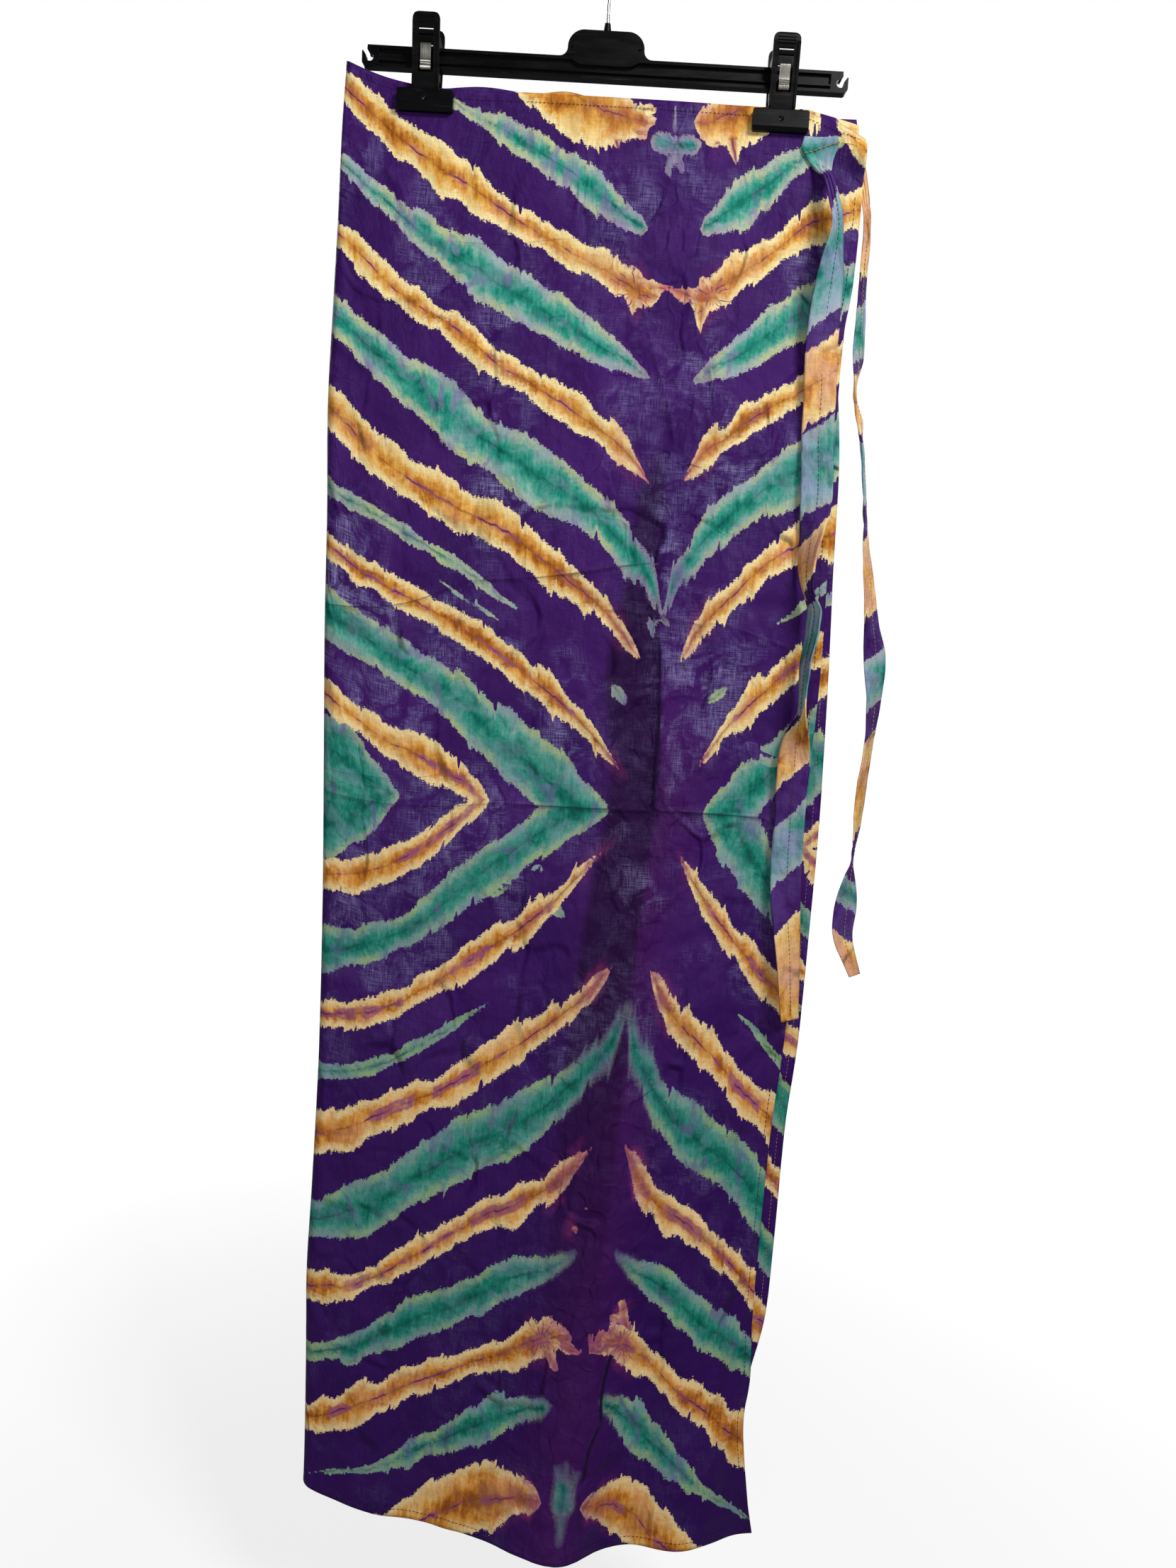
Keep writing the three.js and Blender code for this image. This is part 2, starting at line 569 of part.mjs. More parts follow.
// One jaw, its gripping face towards +Y: a pad, a lever that leans out above it, two rails,
// a window for the spring, a thin slot, grip ribs, and two cheeks that ride over the bar.
function jaw() {
  const side = [
    [-CLIP.padFace, CLIP.padBottom],
    [-6.4, CLIP.padBottom],
    [-8.8, CLIP.padBottom + 2.6],
    [-8.8, CLIP.padTop - 0.8],
    [-8.0, CLIP.padTop],
    [-9.4, -118],
    [-14.6, -86],
    [-14.5, -81.4],
    [-13.6, CLIP.leverTop],
    [-12.7, -80.4],
    [-12.1, -86],
    [-6.9, -118],
    [-5.4, CLIP.padTop],
    [-CLIP.padFace, CLIP.padTop - 2],
  ];
  const half = CLIP.lever / 2;
  const front = roundedShape(-half, half, CLIP.padBottom + 4, CLIP.leverTop, 5);
  const pad = roundedShape(-CLIP.padWidth / 2, CLIP.padWidth / 2, CLIP.padBottom, CLIP.padTop, 2.2);
  const outline = slab(front, 60, 6).add(slab(pad, 60, 4));
  let body = slice(side, CLIP.padWidth + 2).intersect(outline);

  const railSide = [[-9.4, -118], [-14.6, -86], [-15.6, -86.6], [-10.4, -118], [-9.6, -129.6], [-8.0, -129.6]];
  for (const hand of [-1, 1]) {
    const rail = slice(railSide, 1.8).translate(hand * (half - 0.9), 0, 0);
    body = body.add(rail);
    const [low, high] = [hand * CLIP.cheekIn, hand * CLIP.cheekOut].sort((a, b) => a - b);
    const cheek = block([low, -11.2, -121.5], [high, -SEAM_GAP / 2, -93]);
    const leverBack = slice(
      [[-7.6, -118], [-12.6, -86], [-13, -80], [-60, -80], [-60, -150], [-6.6, -130]],
      60,
    );
    const barSpace = block(
      [low - 1, -BAR.depth / 2 - SEAM_GAP, BAR.bottom - SEAM_GAP],
      [high + 1, 5, BAR.top + SEAM_GAP],
    );
    body = body.add(cheek.subtract(leverBack).subtract(barSpace));
  }
  const window = block(
    [-CLIP.windowWidth / 2, -30, CLIP.windowBottom],
    [CLIP.windowWidth / 2, -5.6, CLIP.windowTop],
  );
  const slot = block(
    [-CLIP.windowWidth / 2, -30, CLIP.slotTop - CLIP.slotHeight],
    [CLIP.windowWidth / 2, 0, CLIP.slotTop],
  );
  body = body.subtract(window).subtract(slot);
  for (const z of [-83.4, -85.4, -87.4]) {
    body = body.add(block([-6.6, -15.2, z - 0.4], [6.6, -13, z + 0.4]));
  }
  const dimple = new THREE.ConeGeometry(CLIP.dimple, 1.8, 12).translate(0, -0.9, 0);
  const middle = (CLIP.padTop + CLIP.padBottom) / 2 + 0.6;
  return body.subtract(solid(dimple.translate(0, -7, middle)));
}

// The bent strip that pulls the two jaws together: down through the front window, under the bar
// and up through the rear one.
function springStrip() {
  const arm = [
    [-12.1, -101],
    [-12.7, -102],
    [-11.2, -111.8],
    [-12.2, -113.2],
    [-11.0, -114.8],
    [-11.9, -116.4],
    [-10.6, -118.4],
    [-7.2, -118.5],
    [-3.0, -121.6],
  ];
  const centre = [...arm, ...arm.map(([y, z]) => [-y, z]).reverse()];
  const sideOf = (i) => {
    const [before, after] = [centre[Math.max(i - 1, 0)], centre[Math.min(i + 1, centre.length - 1)]];
    const [dy, dz] = [after[0] - before[0], after[1] - before[1]];
    const length = Math.hypot(dy, dz);
    return [(-dz / length) * (SPRING.gauge / 2), (dy / length) * (SPRING.gauge / 2)];
  };
  const edge = (sign) => centre.map(([y, z], i) => {
    const [oy, oz] = sideOf(i);
    return [y + sign * oy, z + sign * oz];
  });
  return slice([...edge(1), ...edge(-1).reverse()], SPRING.width);
}

for (const [name, hand] of [["left", -1], ["right", 1]]) {
  const x = hand * CLIP.x;
  addMesh(`clip_${name}_front_jaw`, geometryOf(jaw()), blackPlastic).position.x = x;
  const back = addMesh(`clip_${name}_back_jaw`, geometryOf(jaw()), blackPlastic);
  back.position.x = x;
  back.rotation.z = Math.PI;
  addMesh(`clip_${name}_spring`, geometryOf(springStrip()), brightSteel).position.x = x;
}

export default skirt;
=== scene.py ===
# %% [markdown]
# # A tie-dyed wrap skirt on a clip hanger
# The skirt is one long piece of cotton, folded in four and held at its waist by the two clips of
# a plastic trouser hanger. This script dresses a packed model of it: it loads the plain solids
# as a fixed frame, puts thin dyed cloth where each solid cloth wall is, and gives the hanger its
# plastic and steel. Lengths in the tables are millimetres; meshes are written in metres.

# %% Load the packed model
import math
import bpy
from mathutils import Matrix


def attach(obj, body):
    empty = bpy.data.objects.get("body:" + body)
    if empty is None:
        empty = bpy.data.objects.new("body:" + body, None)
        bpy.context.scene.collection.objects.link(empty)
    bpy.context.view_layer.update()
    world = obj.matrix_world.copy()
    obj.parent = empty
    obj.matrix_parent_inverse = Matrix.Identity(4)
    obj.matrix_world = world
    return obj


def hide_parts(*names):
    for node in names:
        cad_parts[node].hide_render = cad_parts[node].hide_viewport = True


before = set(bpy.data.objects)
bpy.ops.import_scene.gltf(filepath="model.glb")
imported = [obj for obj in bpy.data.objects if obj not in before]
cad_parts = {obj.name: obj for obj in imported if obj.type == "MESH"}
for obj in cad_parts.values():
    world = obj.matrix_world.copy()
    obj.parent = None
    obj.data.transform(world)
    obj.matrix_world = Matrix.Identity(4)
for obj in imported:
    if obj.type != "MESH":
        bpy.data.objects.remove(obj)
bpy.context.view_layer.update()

from types import SimpleNamespace

import bmesh
import bpy
import numpy as np
from mathutils import Matrix

MM = 0.001

# %% [markdown]
# The camera comes first, because every later choice is judged through it. It stands about 0.93 m
# in front of the skirt at the height of its middle, looks down by 6.5 degrees and is tilted by
# 3.3 degrees. A wide lens that close makes the hem look narrower than the waist.

# %% Camera
CAMERA_PLACE = (0.0179, -0.93396, -0.53696)
LOOK_DOWN, TILT, LENS, SENSOR = 6.5, 3.3, 27.05, 36.0


def add_camera():
    """Camera turned 90 - LOOK_DOWN degrees about X, then TILT degrees about its own line of sight."""
    data = bpy.data.cameras.new("front_view")
    data.sensor_fit, data.sensor_height, data.sensor_width = "VERTICAL", SENSOR, SENSOR
    data.lens, data.clip_start, data.clip_end = LENS, 0.05, 20
    camera = bpy.data.objects.new("front_view", data)
    bpy.context.scene.collection.objects.link(camera)
    pitch, roll = math.radians(90 - LOOK_DOWN), math.radians(TILT)
    turn = np.array([[1, 0, 0], [0, math.cos(pitch), -math.sin(pitch)], [0, math.sin(pitch), math.cos(pitch)]])
    lean = np.array([[math.cos(roll), -math.sin(roll), 0], [math.sin(roll), math.cos(roll), 0], [0, 0, 1]])
    pose = np.eye(4)
    pose[:3, :3], pose[:3, 3] = turn @ lean, CAMERA_PLACE
    camera.matrix_world = Matrix([list(row) for row in pose])
    bpy.context.scene.camera = camera


add_camera()
print("camera at", CAMERA_PLACE)

# %% [markdown]
# The cloth hangs as four layers. Short tables say where its edges and folds run at each distance
# below the waist, and how far its centre pleat comes forward. A smooth curve through a table's
# rows gives every place between them, so a fold never has a corner where a row is.

# %% Tables of the hanging cloth
LENGTH, WAIST, WALL, SEAM_GAP = 1140.0, -128.0, 1.0, 0.3  # WAIST is the z of the waist edge
LAYERS = {  # y of each layer where the clips pinch it, and where it hangs open
    "front_wrap": (-1.95, -9.0), "under_wrap": (-0.65, -6.5),
    "inner_back": (0.65, 6.5), "outer_back": (1.95, 9.0),
}
OUTWARD = {"front_wrap": -1, "under_wrap": -1, "inner_back": 1, "outer_back": 1}  # the side its face looks to
PARTNER = {"front_wrap": "outer_back", "outer_back": "front_wrap",  # the layer it joins in the left fold
           "under_wrap": "inner_back", "inner_back": "under_wrap"}
OUTLINE = {
    "below": [0, 50, 120, 160, 250, 330, 420, 535, 620, 710, 780, 880, 950, 1000, 1040, 1110, 1140],
    "left_fold": [-193, -195, -196, -197, -199, -197, -196, -193, -191, -190, -190, -192, -194, -193,
                  -192, -191, -191],
    "front_wrap": [197, 198, 196, 191.5, 191, 193, 194, 190, 189, 188, 183, 180, 179, 181, 178, 187, 193],
    "under_wrap": [192, 193, 193, 188, 196, 198, 201, 203, 202, 200, 195, 193, 190, 180, 176, 181, 184],
    "right_fold": [171, 173, 176, 178, 180, 181, 182, 182, 180, 178, 175, 172, 170, 169, 168, 170, 172],
}
PLEAT = {
    "below": [0, 250, 540, 590, 700, 830, 970, 1140],
    "crest_x": [56, 67, 76, 66, 60, 52, 43, 28],
    "crest": [0, 2, 7, 9, 14, 23, 37, 58],
    "shelf": [0, 0, 1, 2, 4, 8, 15, 25],
}
PLEAT_LEFT, PLEAT_RIGHT = 72.0, 42.0  # half width of the pleat's flanks
SHELF_X, SHELF_HALF = 126, 44
LEFT_LIFT = {"from": -110, "to": -193, "height": 16, "power": 2.2}  # the left corner stands up
CORNER = {"from": 153, "to": 197, "droop": 19, "lasting": 5, "power": 1.2, "fades": (0, 120)}  # the right one droops
ROLL = {"across": (161, 197), "starts": (0, 9), "ends": (34, 16), "height": 9}  # and rolls forward: x, and mm below
CLIP_X, CLIP_HALF = 132.5, 26  # each clip's centre line, and half the width that it holds flat
OPEN_AT_WAIST, OPEN_WAY = 0.24, 34  # how open the waist is away from the clips, and over what distance
PARTING = (22, 210)  # mm below the waist between which the pinched layers part
SWING = {"left": (-204, -120), "right": (206, 150), "below": (22, 120)}  # where the pleat may come forward


def along(table, column, at, key="below"):
    """Cubic Hermite curve through a table's column; each knot's slope is that of the chord between its neighbours."""
    knots, values = np.array(table[key], float), np.array(table[column], float)
    if knots[0] > knots[-1]:
        knots, at = -knots, -np.asarray(at, float)
    at, last = np.asarray(at, float), len(knots) - 1
    i = np.clip(np.searchsorted(knots, at, side="right") - 1, 0, last - 1)
    low, high = np.maximum(np.arange(last + 1) - 1, 0), np.minimum(np.arange(last + 1) + 1, last)
    slope = (values[high] - values[low]) / (knots[high] - knots[low])
    span = knots[i + 1] - knots[i]
    t = np.clip((at - knots[i]) / span, 0, 1)
    return ((2 * t**3 - 3 * t**2 + 1) * values[i] + (t**3 - 2 * t**2 + t) * span * slope[i]
            + (3 * t**2 - 2 * t**3) * values[i + 1] + (t**3 - t**2) * span * slope[i + 1])


def ease(start, end, x):
    """Smooth step 3t^2 - 2t^3 from 0 at start to 1 at end."""
    t = np.clip((np.asarray(x, float) - start) / (end - start), 0, 1)
    return t * t * (3 - 2 * t)


def bell(x, half):
    """Soft hump 1 / (1 + (x / half)^2)."""
    return 1 / (1 + (x / half) ** 2)


print("cloth", LENGTH, "mm long,", len(OUTLINE["below"]), "outline rows")

# %% How the layers lie
def openness(x, below):
    """0 where the clips pinch the layers, 1 well below them."""
    from_clip = np.maximum(np.abs(np.abs(x) - CLIP_X) - CLIP_HALF, 0)
    at_waist = OPEN_AT_WAIST * (1 - np.exp(-((from_clip / OPEN_WAY) ** 2)))
    return at_waist + (1 - at_waist) * ease(*PARTING, below)


def forward(x, below):
    """How far the centre pleat and the shelf beside it come forward."""
    crest_x, crest, shelf = (along(PLEAT, name, below) for name in ("crest_x", "crest", "shelf"))
    held = ease(*SWING["left"], x) * ease(*SWING["right"], x)
    pleat = crest * bell(x - crest_x, np.where(x < crest_x, PLEAT_LEFT, PLEAT_RIGHT))
    rise = ease(0, 1, (x - crest_x) / (SHELF_X - crest_x))
    wave = np.where(x > crest_x, shelf * bell(x - SHELF_X, SHELF_HALF) * rise, 0)
    return held * (pleat + wave) * ease(*SWING["below"], below)


def height(x, below, droop_share=1.0):
    """z of a point: the left corner stands up and the right corner droops."""
    left = (x - LEFT_LIFT["from"]) / (LEFT_LIFT["to"] - LEFT_LIFT["from"])
    right = (x - CORNER["from"]) / (CORNER["to"] - CORNER["from"])
    low = ease(*CORNER["fades"], below)
    droop = CORNER["droop"] * droop_share * (1 - low) + CORNER["lasting"] * low
    raised = LEFT_LIFT["height"] * np.maximum(left, 0) ** LEFT_LIFT["power"]
    return WAIST - below + raised - np.maximum(right, 0) ** CORNER["power"] * droop


def corner_roll(x, below):
    """The drooping corner of the front wrap rolls forward."""
    return ease(*ROLL["across"], x) * ROLL["height"] * ease(*ROLL["starts"], below) * ease(*ROLL["ends"], below)


def layer_y(layer, x, below):
    """How deep a layer lies at a place, before its creases."""
    pinched, opened = LAYERS[layer]
    return pinched + (opened - pinched) * openness(x, below) - forward(x, below)


print("front layer hangs at y", round(float(layer_y("front_wrap", -100.0, 600.0)), 1), "mm")

# %% [markdown]
# Cotton that has been folded in a drawer keeps its creases. Each one is a row of a table: where
# it starts and ends on the cloth, how far it stands out, and how wide it is. Softer waves come
# from a few sine waves of different length and heading added together, which never repeat
# within the skirt. The random numbers are seeded, so every run gives the same cloth.

# %% Creases and waves
CREASES = np.array([
    # x0, below0, x1, below1, height, half width
    [-196, 404, -82, 362, 1.2, 2.2], [-82, 362, 62, 341, 1.1, 2.0], [22, 378, 104, 384, 0.9, 1.8],
    [104, 384, 168, 396, 0.8, 1.8], [-191, 547, -49, 532, 0.8, 2.2], [-49, 532, 168, 534, 1.3, 2.0],
    [-191, 530, -96, 511, 0.5, 2.0], [15, 89, 45, 166, 1.7, 4.0], [45, 166, 68, 250, 2.3, 3.6],
    [68, 250, 52, 300, 0.9, 3.5], [-107, 110, -18, 105, 0.5, 2.0], [-197, 95, -170, 88, 0.9, 2.0],
    [66, 300, 66, 392, 0.9, 2.6], [66, 392, 73, 540, 1.7, 2.0], [58, 445, 100, 441, 0.7, 2.2],
    [60, 500, 88, 524, 0.8, 2.2], [-4, 660, -2, 833, 0.7, 2.4], [-2, 833, 3, 1030, 0.7, 2.6],
    [40, 560, 24, 660, 0.9, 3.5], [60, 690, 47, 780, 1.3, 3.2], [47, 780, 40, 860, 1.6, 3.0],
    [26, 816, 52, 842, 0.9, 3.0], [52, 842, 24, 872, 0.8, 2.6], [20, 905, 46, 884, 0.9, 2.6],
    [40, 860, 30, 960, 1.4, 3.0], [62, 972, 56, 1030, -2.6, 2.2], [56, 1030, 44, 1075, -2.2, 2.2],
    [44, 1075, 46, 1138, -1.5, 3.4], [22, 940, 44, 925, 0.8, 2.4], [-15, 591, 76, 654, 0.4, 3.2],
    [80, 690, 132, 684, 0.5, 2.8], [-60, 700, 30, 735, 0.5, 3.4], [70, 905, 104, 900, 0.6, 2.6],
    [-70, 130, -30, 200, 0.5, 4.0], [100, 210, 138, 236, 0.5, 3.0], [-150, 870, -80, 905, 0.4, 4.0],
])
BACK_CREASES = np.array([
    [-190, 398, 30, 372, 1.1, 2.4], [30, 372, 168, 391, 0.9, 2.2], [-190, 541, -20, 530, 0.9, 2.2],
    [-20, 530, 172, 536, 1.2, 2.2], [-60, 30, -66, 330, 0.9, 3.0], [-66, 330, -58, 640, 1.1, 2.6],
    [-58, 640, -64, 1130, 0.8, 3.0], [70, 640, 58, 1135, 1.3, 4.0], [-150, 210, -70, 262, 0.6, 3.4],
    [20, 700, 96, 742, 0.7, 3.4], [-170, 900, -90, 868, 0.6, 3.4], [90, 140, 150, 205, 0.7, 3.4],
])
CREASE_BEND = 1.6  # mm that a crease's line bends aside
FELT, KEEN, SHADED = 5, 2.0, 9  # mm: how far a crease outdoes others, a sharp one's half width, how far it shades
WAVE_SEED, SEED_STEP = 417, 20
WAVES = {  # height in mm, stretch down the cloth, longest and shortest wave in mm
    "broad": (1.3, 0.45, 240, 60), "soft": (0.42, 1.0, 46, 15), "fine": (0.6, 1.7, 34, 9),
}
SPINE_HALF = 42  # mm beside the pleat's crest within which the fine waves lie
INNER_SHARE = 0.45  # how much of its relief a layer between the others keeps
NO_CREASE = 9.0  # mm from the nearest crease, where none is felt


def waves(u, v, seed, longest, shortest, count=9):
    """Sum of sines with seeded headings; wavelengths fall evenly from longest to shortest. About -1 to 1."""
    draw = np.random.default_rng(seed)
    length = np.geomspace(longest, shortest, count)
    heading, shift = draw.uniform(0, np.pi, count), draw.uniform(0, 2 * np.pi, count)
    total = np.zeros(np.broadcast(u, v).shape)
    for size, angle, start in zip(length, heading, shift):
        total = total + size**0.7 * np.sin(2 * np.pi * (u * np.cos(angle) + v * np.sin(angle)) / size + start)
    return total / np.sqrt((length**1.4).sum())


def crease_place(x, below, row):
    """Signed mm from a crease's slightly bent line, and how far it has faded in, 0 to 1."""
    x0, b0, x1, b1 = row[:4]
    run = np.array([x1 - x0, b1 - b0])
    size = np.hypot(*run)
    part = ((x - x0) * run[0] + (below - b0) * run[1]) / size**2
    gap = ((x - x0) * run[1] - (below - b0) * run[0]) / size + CREASE_BEND * np.sin(part * 5 + x0)
    return gap, ease(-0.06, 0.1, part) * ease(1.06, 0.9, part)


def creases_of(layer):
    return CREASES if OUTWARD[layer] < 0 else BACK_CREASES


def crease_relief(x, below, table):
    """Each crease is a sharp ridge, height * exp(-distance / half width), about its line."""
    total = np.zeros(np.broadcast(x, below).shape)
    for row in table:
        gap, fade = crease_place(x, below, row)
        total = total + row[4] * np.exp(-np.abs(gap) / row[5]) * fade
    return total


def crease_field(x, below, table):
    """Of the crease felt most at a place: signed mm from its line, its strength, and a free third number."""
    shape = np.broadcast(x, below).shape
    felt, nearest, strength = np.zeros(shape), np.full(shape, NO_CREASE), np.zeros(shape)
    for row in table:
        gap, fade = crease_place(x, below, row)
        force = abs(row[4]) * fade * np.exp(-np.abs(gap) / FELT)
        inner = force > felt
        felt = np.where(inner, force, felt)
        keen = abs(row[4]) * fade * min((KEEN / row[5]) ** 2, 1)
        nearest, strength = np.where(inner, gap, nearest), np.where(inner, keen, strength)
    return np.stack([nearest, strength * np.exp(-np.abs(nearest) / SHADED), 0 * nearest], -1)


def relief(layer, x, below):
    """How far a layer's own creases and waves stand out, in mm; nothing where the clips hold it flat."""
    seed = WAVE_SEED + list(LAYERS).index(layer)
    broad, soft, fine = (size * waves(x, below * stretch, seed + SEED_STEP * number, longest, shortest)
                         for number, (size, stretch, longest, shortest) in enumerate(WAVES.values()))
    near_spine = bell(x - along(PLEAT, "crest_x", below), SPINE_HALF)
    freed = ease(4, 70, below) * (0.35 + 0.65 * openness(x, below))
    share = 1.0 if layer in ("front_wrap", "outer_back") else INNER_SHARE
    return freed * (broad + soft + near_spine * fine + crease_relief(x, below, creases_of(layer))) * share


print(len(CREASES), "creases on the front,", len(BACK_CREASES), "on the back")

# %% [markdown]
# A panel is one function of two lengths: how far along the cloth from the left fold, and how far
# below the waist. Near the left fold the first length runs round a half circle that joins the
# layer to its partner; on the back layers the last part turns round the right fold in the same
# way. Because it is one function, a stitch or a tie can ask for any point of the cloth too.

# %% The panels' surface
BACK_PEEKS = ((-88, 34, 5.0), (-28, 20, 5.5))  # x, half width and height above the front's waist edge
IN_FOLD = 0.3  # how much of its relief the cloth keeps where it turns round the left fold


def quarter_turn(radius):
    """Length of a quarter circle of cloth, less half the gap that a seam keeps."""
    return radius * np.pi / 2 - SEAM_GAP / 2


def folds(layer, below):
    """A layer's two folds in each row: where they start, their radius and middle, and the lengths of cloth."""
    edge = along(OUTLINE, "left_fold", below)
    outer_radius = (layer_y("outer_back", edge + 9, below) - layer_y("front_wrap", edge + 9, below)) / 2
    start = edge + WALL / 2 + outer_radius
    own, other = layer_y(layer, start, below), layer_y(PARTNER[layer], start, below)
    radius = np.abs(own - other) / 2
    fold = SimpleNamespace(start=start, radius=radius, middle=(own + other) / 2, side=np.sign(own - other),
                           arc=quarter_turn(radius), tail=0)
    if OUTWARD[layer] < 0:
        fold.flat = along(OUTLINE, layer, below) - start
    else:
        right_edge = along(OUTLINE, "right_fold", below)
        front, back = layer_y("inner_back", right_edge, below), layer_y("outer_back", right_edge, below)
        fold.right_radius, fold.right_middle = (back - front) / 2, (back + front) / 2
        fold.turn_x = right_edge - fold.right_radius
        fold.flat, fold.tail = fold.turn_x - start, quarter_turn(fold.right_radius)
    return fold


def reach(layer, below):
    """Length of cloth from the left fold's seam to the layer's other end."""
    fold = folds(layer, below)
    return fold.arc + fold.flat + fold.tail


def cloth_points(layer, run, below):
    """Points (x, y, z) in mm of a layer, run mm along the cloth from its left fold's seam, and its flat x."""
    fold = folds(layer, below)
    flat_x = fold.start + run - fold.arc
    turn = np.clip((run + SEAM_GAP / 2) / fold.radius, 0, np.pi / 2)
    in_fold, past = run < fold.arc, run - fold.arc - fold.flat
    x = np.where(in_fold, fold.start - fold.radius * np.cos(turn), flat_x)
    y = np.where(in_fold, fold.middle + fold.side * fold.radius * np.sin(turn), layer_y(layer, flat_x, below))
    if OUTWARD[layer] > 0:
        back = 1 if layer == "outer_back" else -1
        swing = np.clip(past / fold.right_radius, 0, np.pi / 2)
        x = np.where(past > 0, fold.turn_x + fold.right_radius * np.sin(swing), x)
        y = np.where(past > 0, fold.right_middle + back * fold.right_radius * np.cos(swing), y)
    if layer == "front_wrap":
        y = y - corner_roll(x, below)
    z = height(x, below, 0.55 if layer == "under_wrap" else 1.0)
    if layer == "outer_back":
        z = z + sum(h * np.exp(-(((x - at) / half) ** 2)) for at, half, h in BACK_PEEKS) * ease(90, 10, below)
    y = y + np.where(in_fold, IN_FOLD, 1) * OUTWARD[layer] * relief(layer, flat_x, below)
    return np.stack(np.broadcast_arrays(x, y, z), -1), flat_x


print("front wrap reaches", reach("front_wrap", np.array([0.0, 600.0, 1140.0])).round(0), "mm")

# %% [markdown]
# The dye pattern was made by folding the cloth into a narrow pleated strip and binding it, so it
# has symmetry: bands climb away from a spine down the middle, the lower half mirrors the upper,
# and all four layers carry the same bands because they were dyed together. One table describes
# one quarter of it. Each band is a row: its dye, where it starts, the distance of its middle
# from the cross fold at seven distances out from the spine, and its half width there.

# %% Dye bands
SPINE = {"below": [0, 34, 141, 260, 376, 536, 573, 662, 812, 963, 1081, 1140],
         "x": [54, 56, 64, 65, 68, 77, 66, 62, 52, 43, 32, 28]}
CROSS_FOLD = 533.0
RIGHT_SCALE, LOW_STRETCH = 1.27, 0.085  # the right side is narrower, and the lower half a little longer
LOWER_LEFT = {"mm": 24, "out": 250, "dies": 480}  # there the bands lie lower, by mm at out, and less further down
KNOTS = [0, 12, 35, 70, 120, 180, 262]
BANDS = [
    # dye, starts at, middle at each knot, half width at each knot
    ("orange", 20, (512, 515, 520, 533, 560, 590, 640), (0, 0, 14, 23, 20, 6, 0)),
    ("teal", 25, (430, 438, 449, 470, 499, 533, 575), (0, 1, 9, 15.5, 9.5, 3, 0)),
    ("orange", 17, (392, 392, 397, 417, 444, 478, 521), (0, 4, 12.5, 8, 9.5, 13, 7)),
    ("teal", 19, (315, 324, 341, 359, 386, 421, 468), (0, 1, 6.5, 14, 18.5, 14, 4)),
    ("orange", 15, (240, 252, 279, 303, 327, 368, 411), (0, 1, 7.5, 9.5, 8, 9, 9)),
    ("teal", 0, (152, 182, 209, 236, 265, 304, 349), (1, 8.5, 14, 18, 20, 19, 15.5)),
    ("orange", 19, (92, 112, 144, 174, 206, 237, 279), (0, 1, 6, 10, 11.5, 13.5, 12)),
    ("teal", 113, (70, 86, 105, 130, 158, 196, 223), (0, 0, 0, 0, 2.0, 6.0, 8.5)),
    ("orange", 35, (0, 10, 35, 74, 113, 149, 179), (0, 0, 2, 6.5, 10, 8.5, 8)),
    ("teal", 43, (-50, -30, -12, 5, 43, 92, 125), (0, 0, 6, 22, 19, 16, 19)),
    ("orange", 138, (-80, -75, -60, -40, -14, 28, 61), (0, 0, 0, 0, 3, 11.5, 9)),
    ("teal", 209, (-80, -75, -60, -50, -40, -14, 18), (0, 0, 0, 0, 0, 0, 30)),
]
EXTRA = {"orange": 2.0, "teal": -0.5}  # the rim that creeps past each band's middle part
OUTSIDE = -99.0  # mm inside, where no dye is near
RUN_STRETCH, RUN_STEP = 1.17, 400  # cloth along a band for each mm out, and a fresh stretch of noise a band
WANDER, SWELL, TAPER = 2.2, 0.12, 0.9  # mm a band strays, share its width changes, narrowing a mm before its start


def no_dye(shape, run):
    """Fields of both dyes with nothing in them yet: mm inside, mm across, and mm along."""
    return {dye: np.stack([np.full(shape, OUTSIDE), np.zeros(shape), run], -1) for dye in EXTRA}


def lay_dye(field, inside, *others):
    """Puts a shape's numbers in a field, where it is deeper inside than what is there."""
    inner = inside > field[..., 0]
    for column, values in enumerate((inside, *others)):
        field[..., column] = np.where(inner, values, field[..., column])


def quarter_place(x, below):
    """Folds a place on the cloth onto the first quarter: (out from the spine, up from the cross fold)."""
    spine = along(SPINE, "x", below)
    out = np.where(x < spine, spine - x, (x - spine) * RIGHT_SCALE)
    under = below - CROSS_FOLD
    shift = LOWER_LEFT["mm"] * (np.clip(out, 0, KNOTS[-1]) / LOWER_LEFT["out"]) ** 1.5
    shift = shift * np.clip(1 - under / LOWER_LEFT["dies"], 0, 1) * (x < spine)
    low = (under - shift * ease(0, 40, under)) / (1 + LOW_STRETCH * np.clip(under / 350, 0, 1))
    return out, np.where(under < 0, -under, low)


def dye_fields(x, below, layer_number=0):
    """For each dye: mm inside its nearest band, mm across from its middle, and mm out along it plus 400 a band."""
    out, up = quarter_place(x, below)
    quarter = 4.0 * layer_number + 2.0 * (below > CROSS_FOLD) + 1.0 * (x > along(SPINE, "x", below))
    fields = no_dye(out.shape, out * RUN_STRETCH)
    for number, (dye, start, middle, half) in enumerate(BANDS):
        table = {"below": KNOTS, "middle": middle, "half": half}
        centre = along(table, "middle", out)
        slope = (along(table, "middle", out + 2) - along(table, "middle", out - 2)) / 4
        wander = waves(out, quarter * 91, 60 + number, 150, 28, 5)
        swell = waves(out, quarter * 57, 90 + number, 90, 20, 6)
        across = (up - centre - WANDER * wander) / np.sqrt(1 + slope**2)
        width = (along(table, "half", out) + EXTRA[dye] * ease(start, start + 40, out)) * (1 + SWELL * swell)
        width = width - np.maximum(start - out, 0) * TAPER
        lay_dye(fields[dye], width - np.abs(across), across, out * RUN_STRETCH + RUN_STEP * number)
    return fields


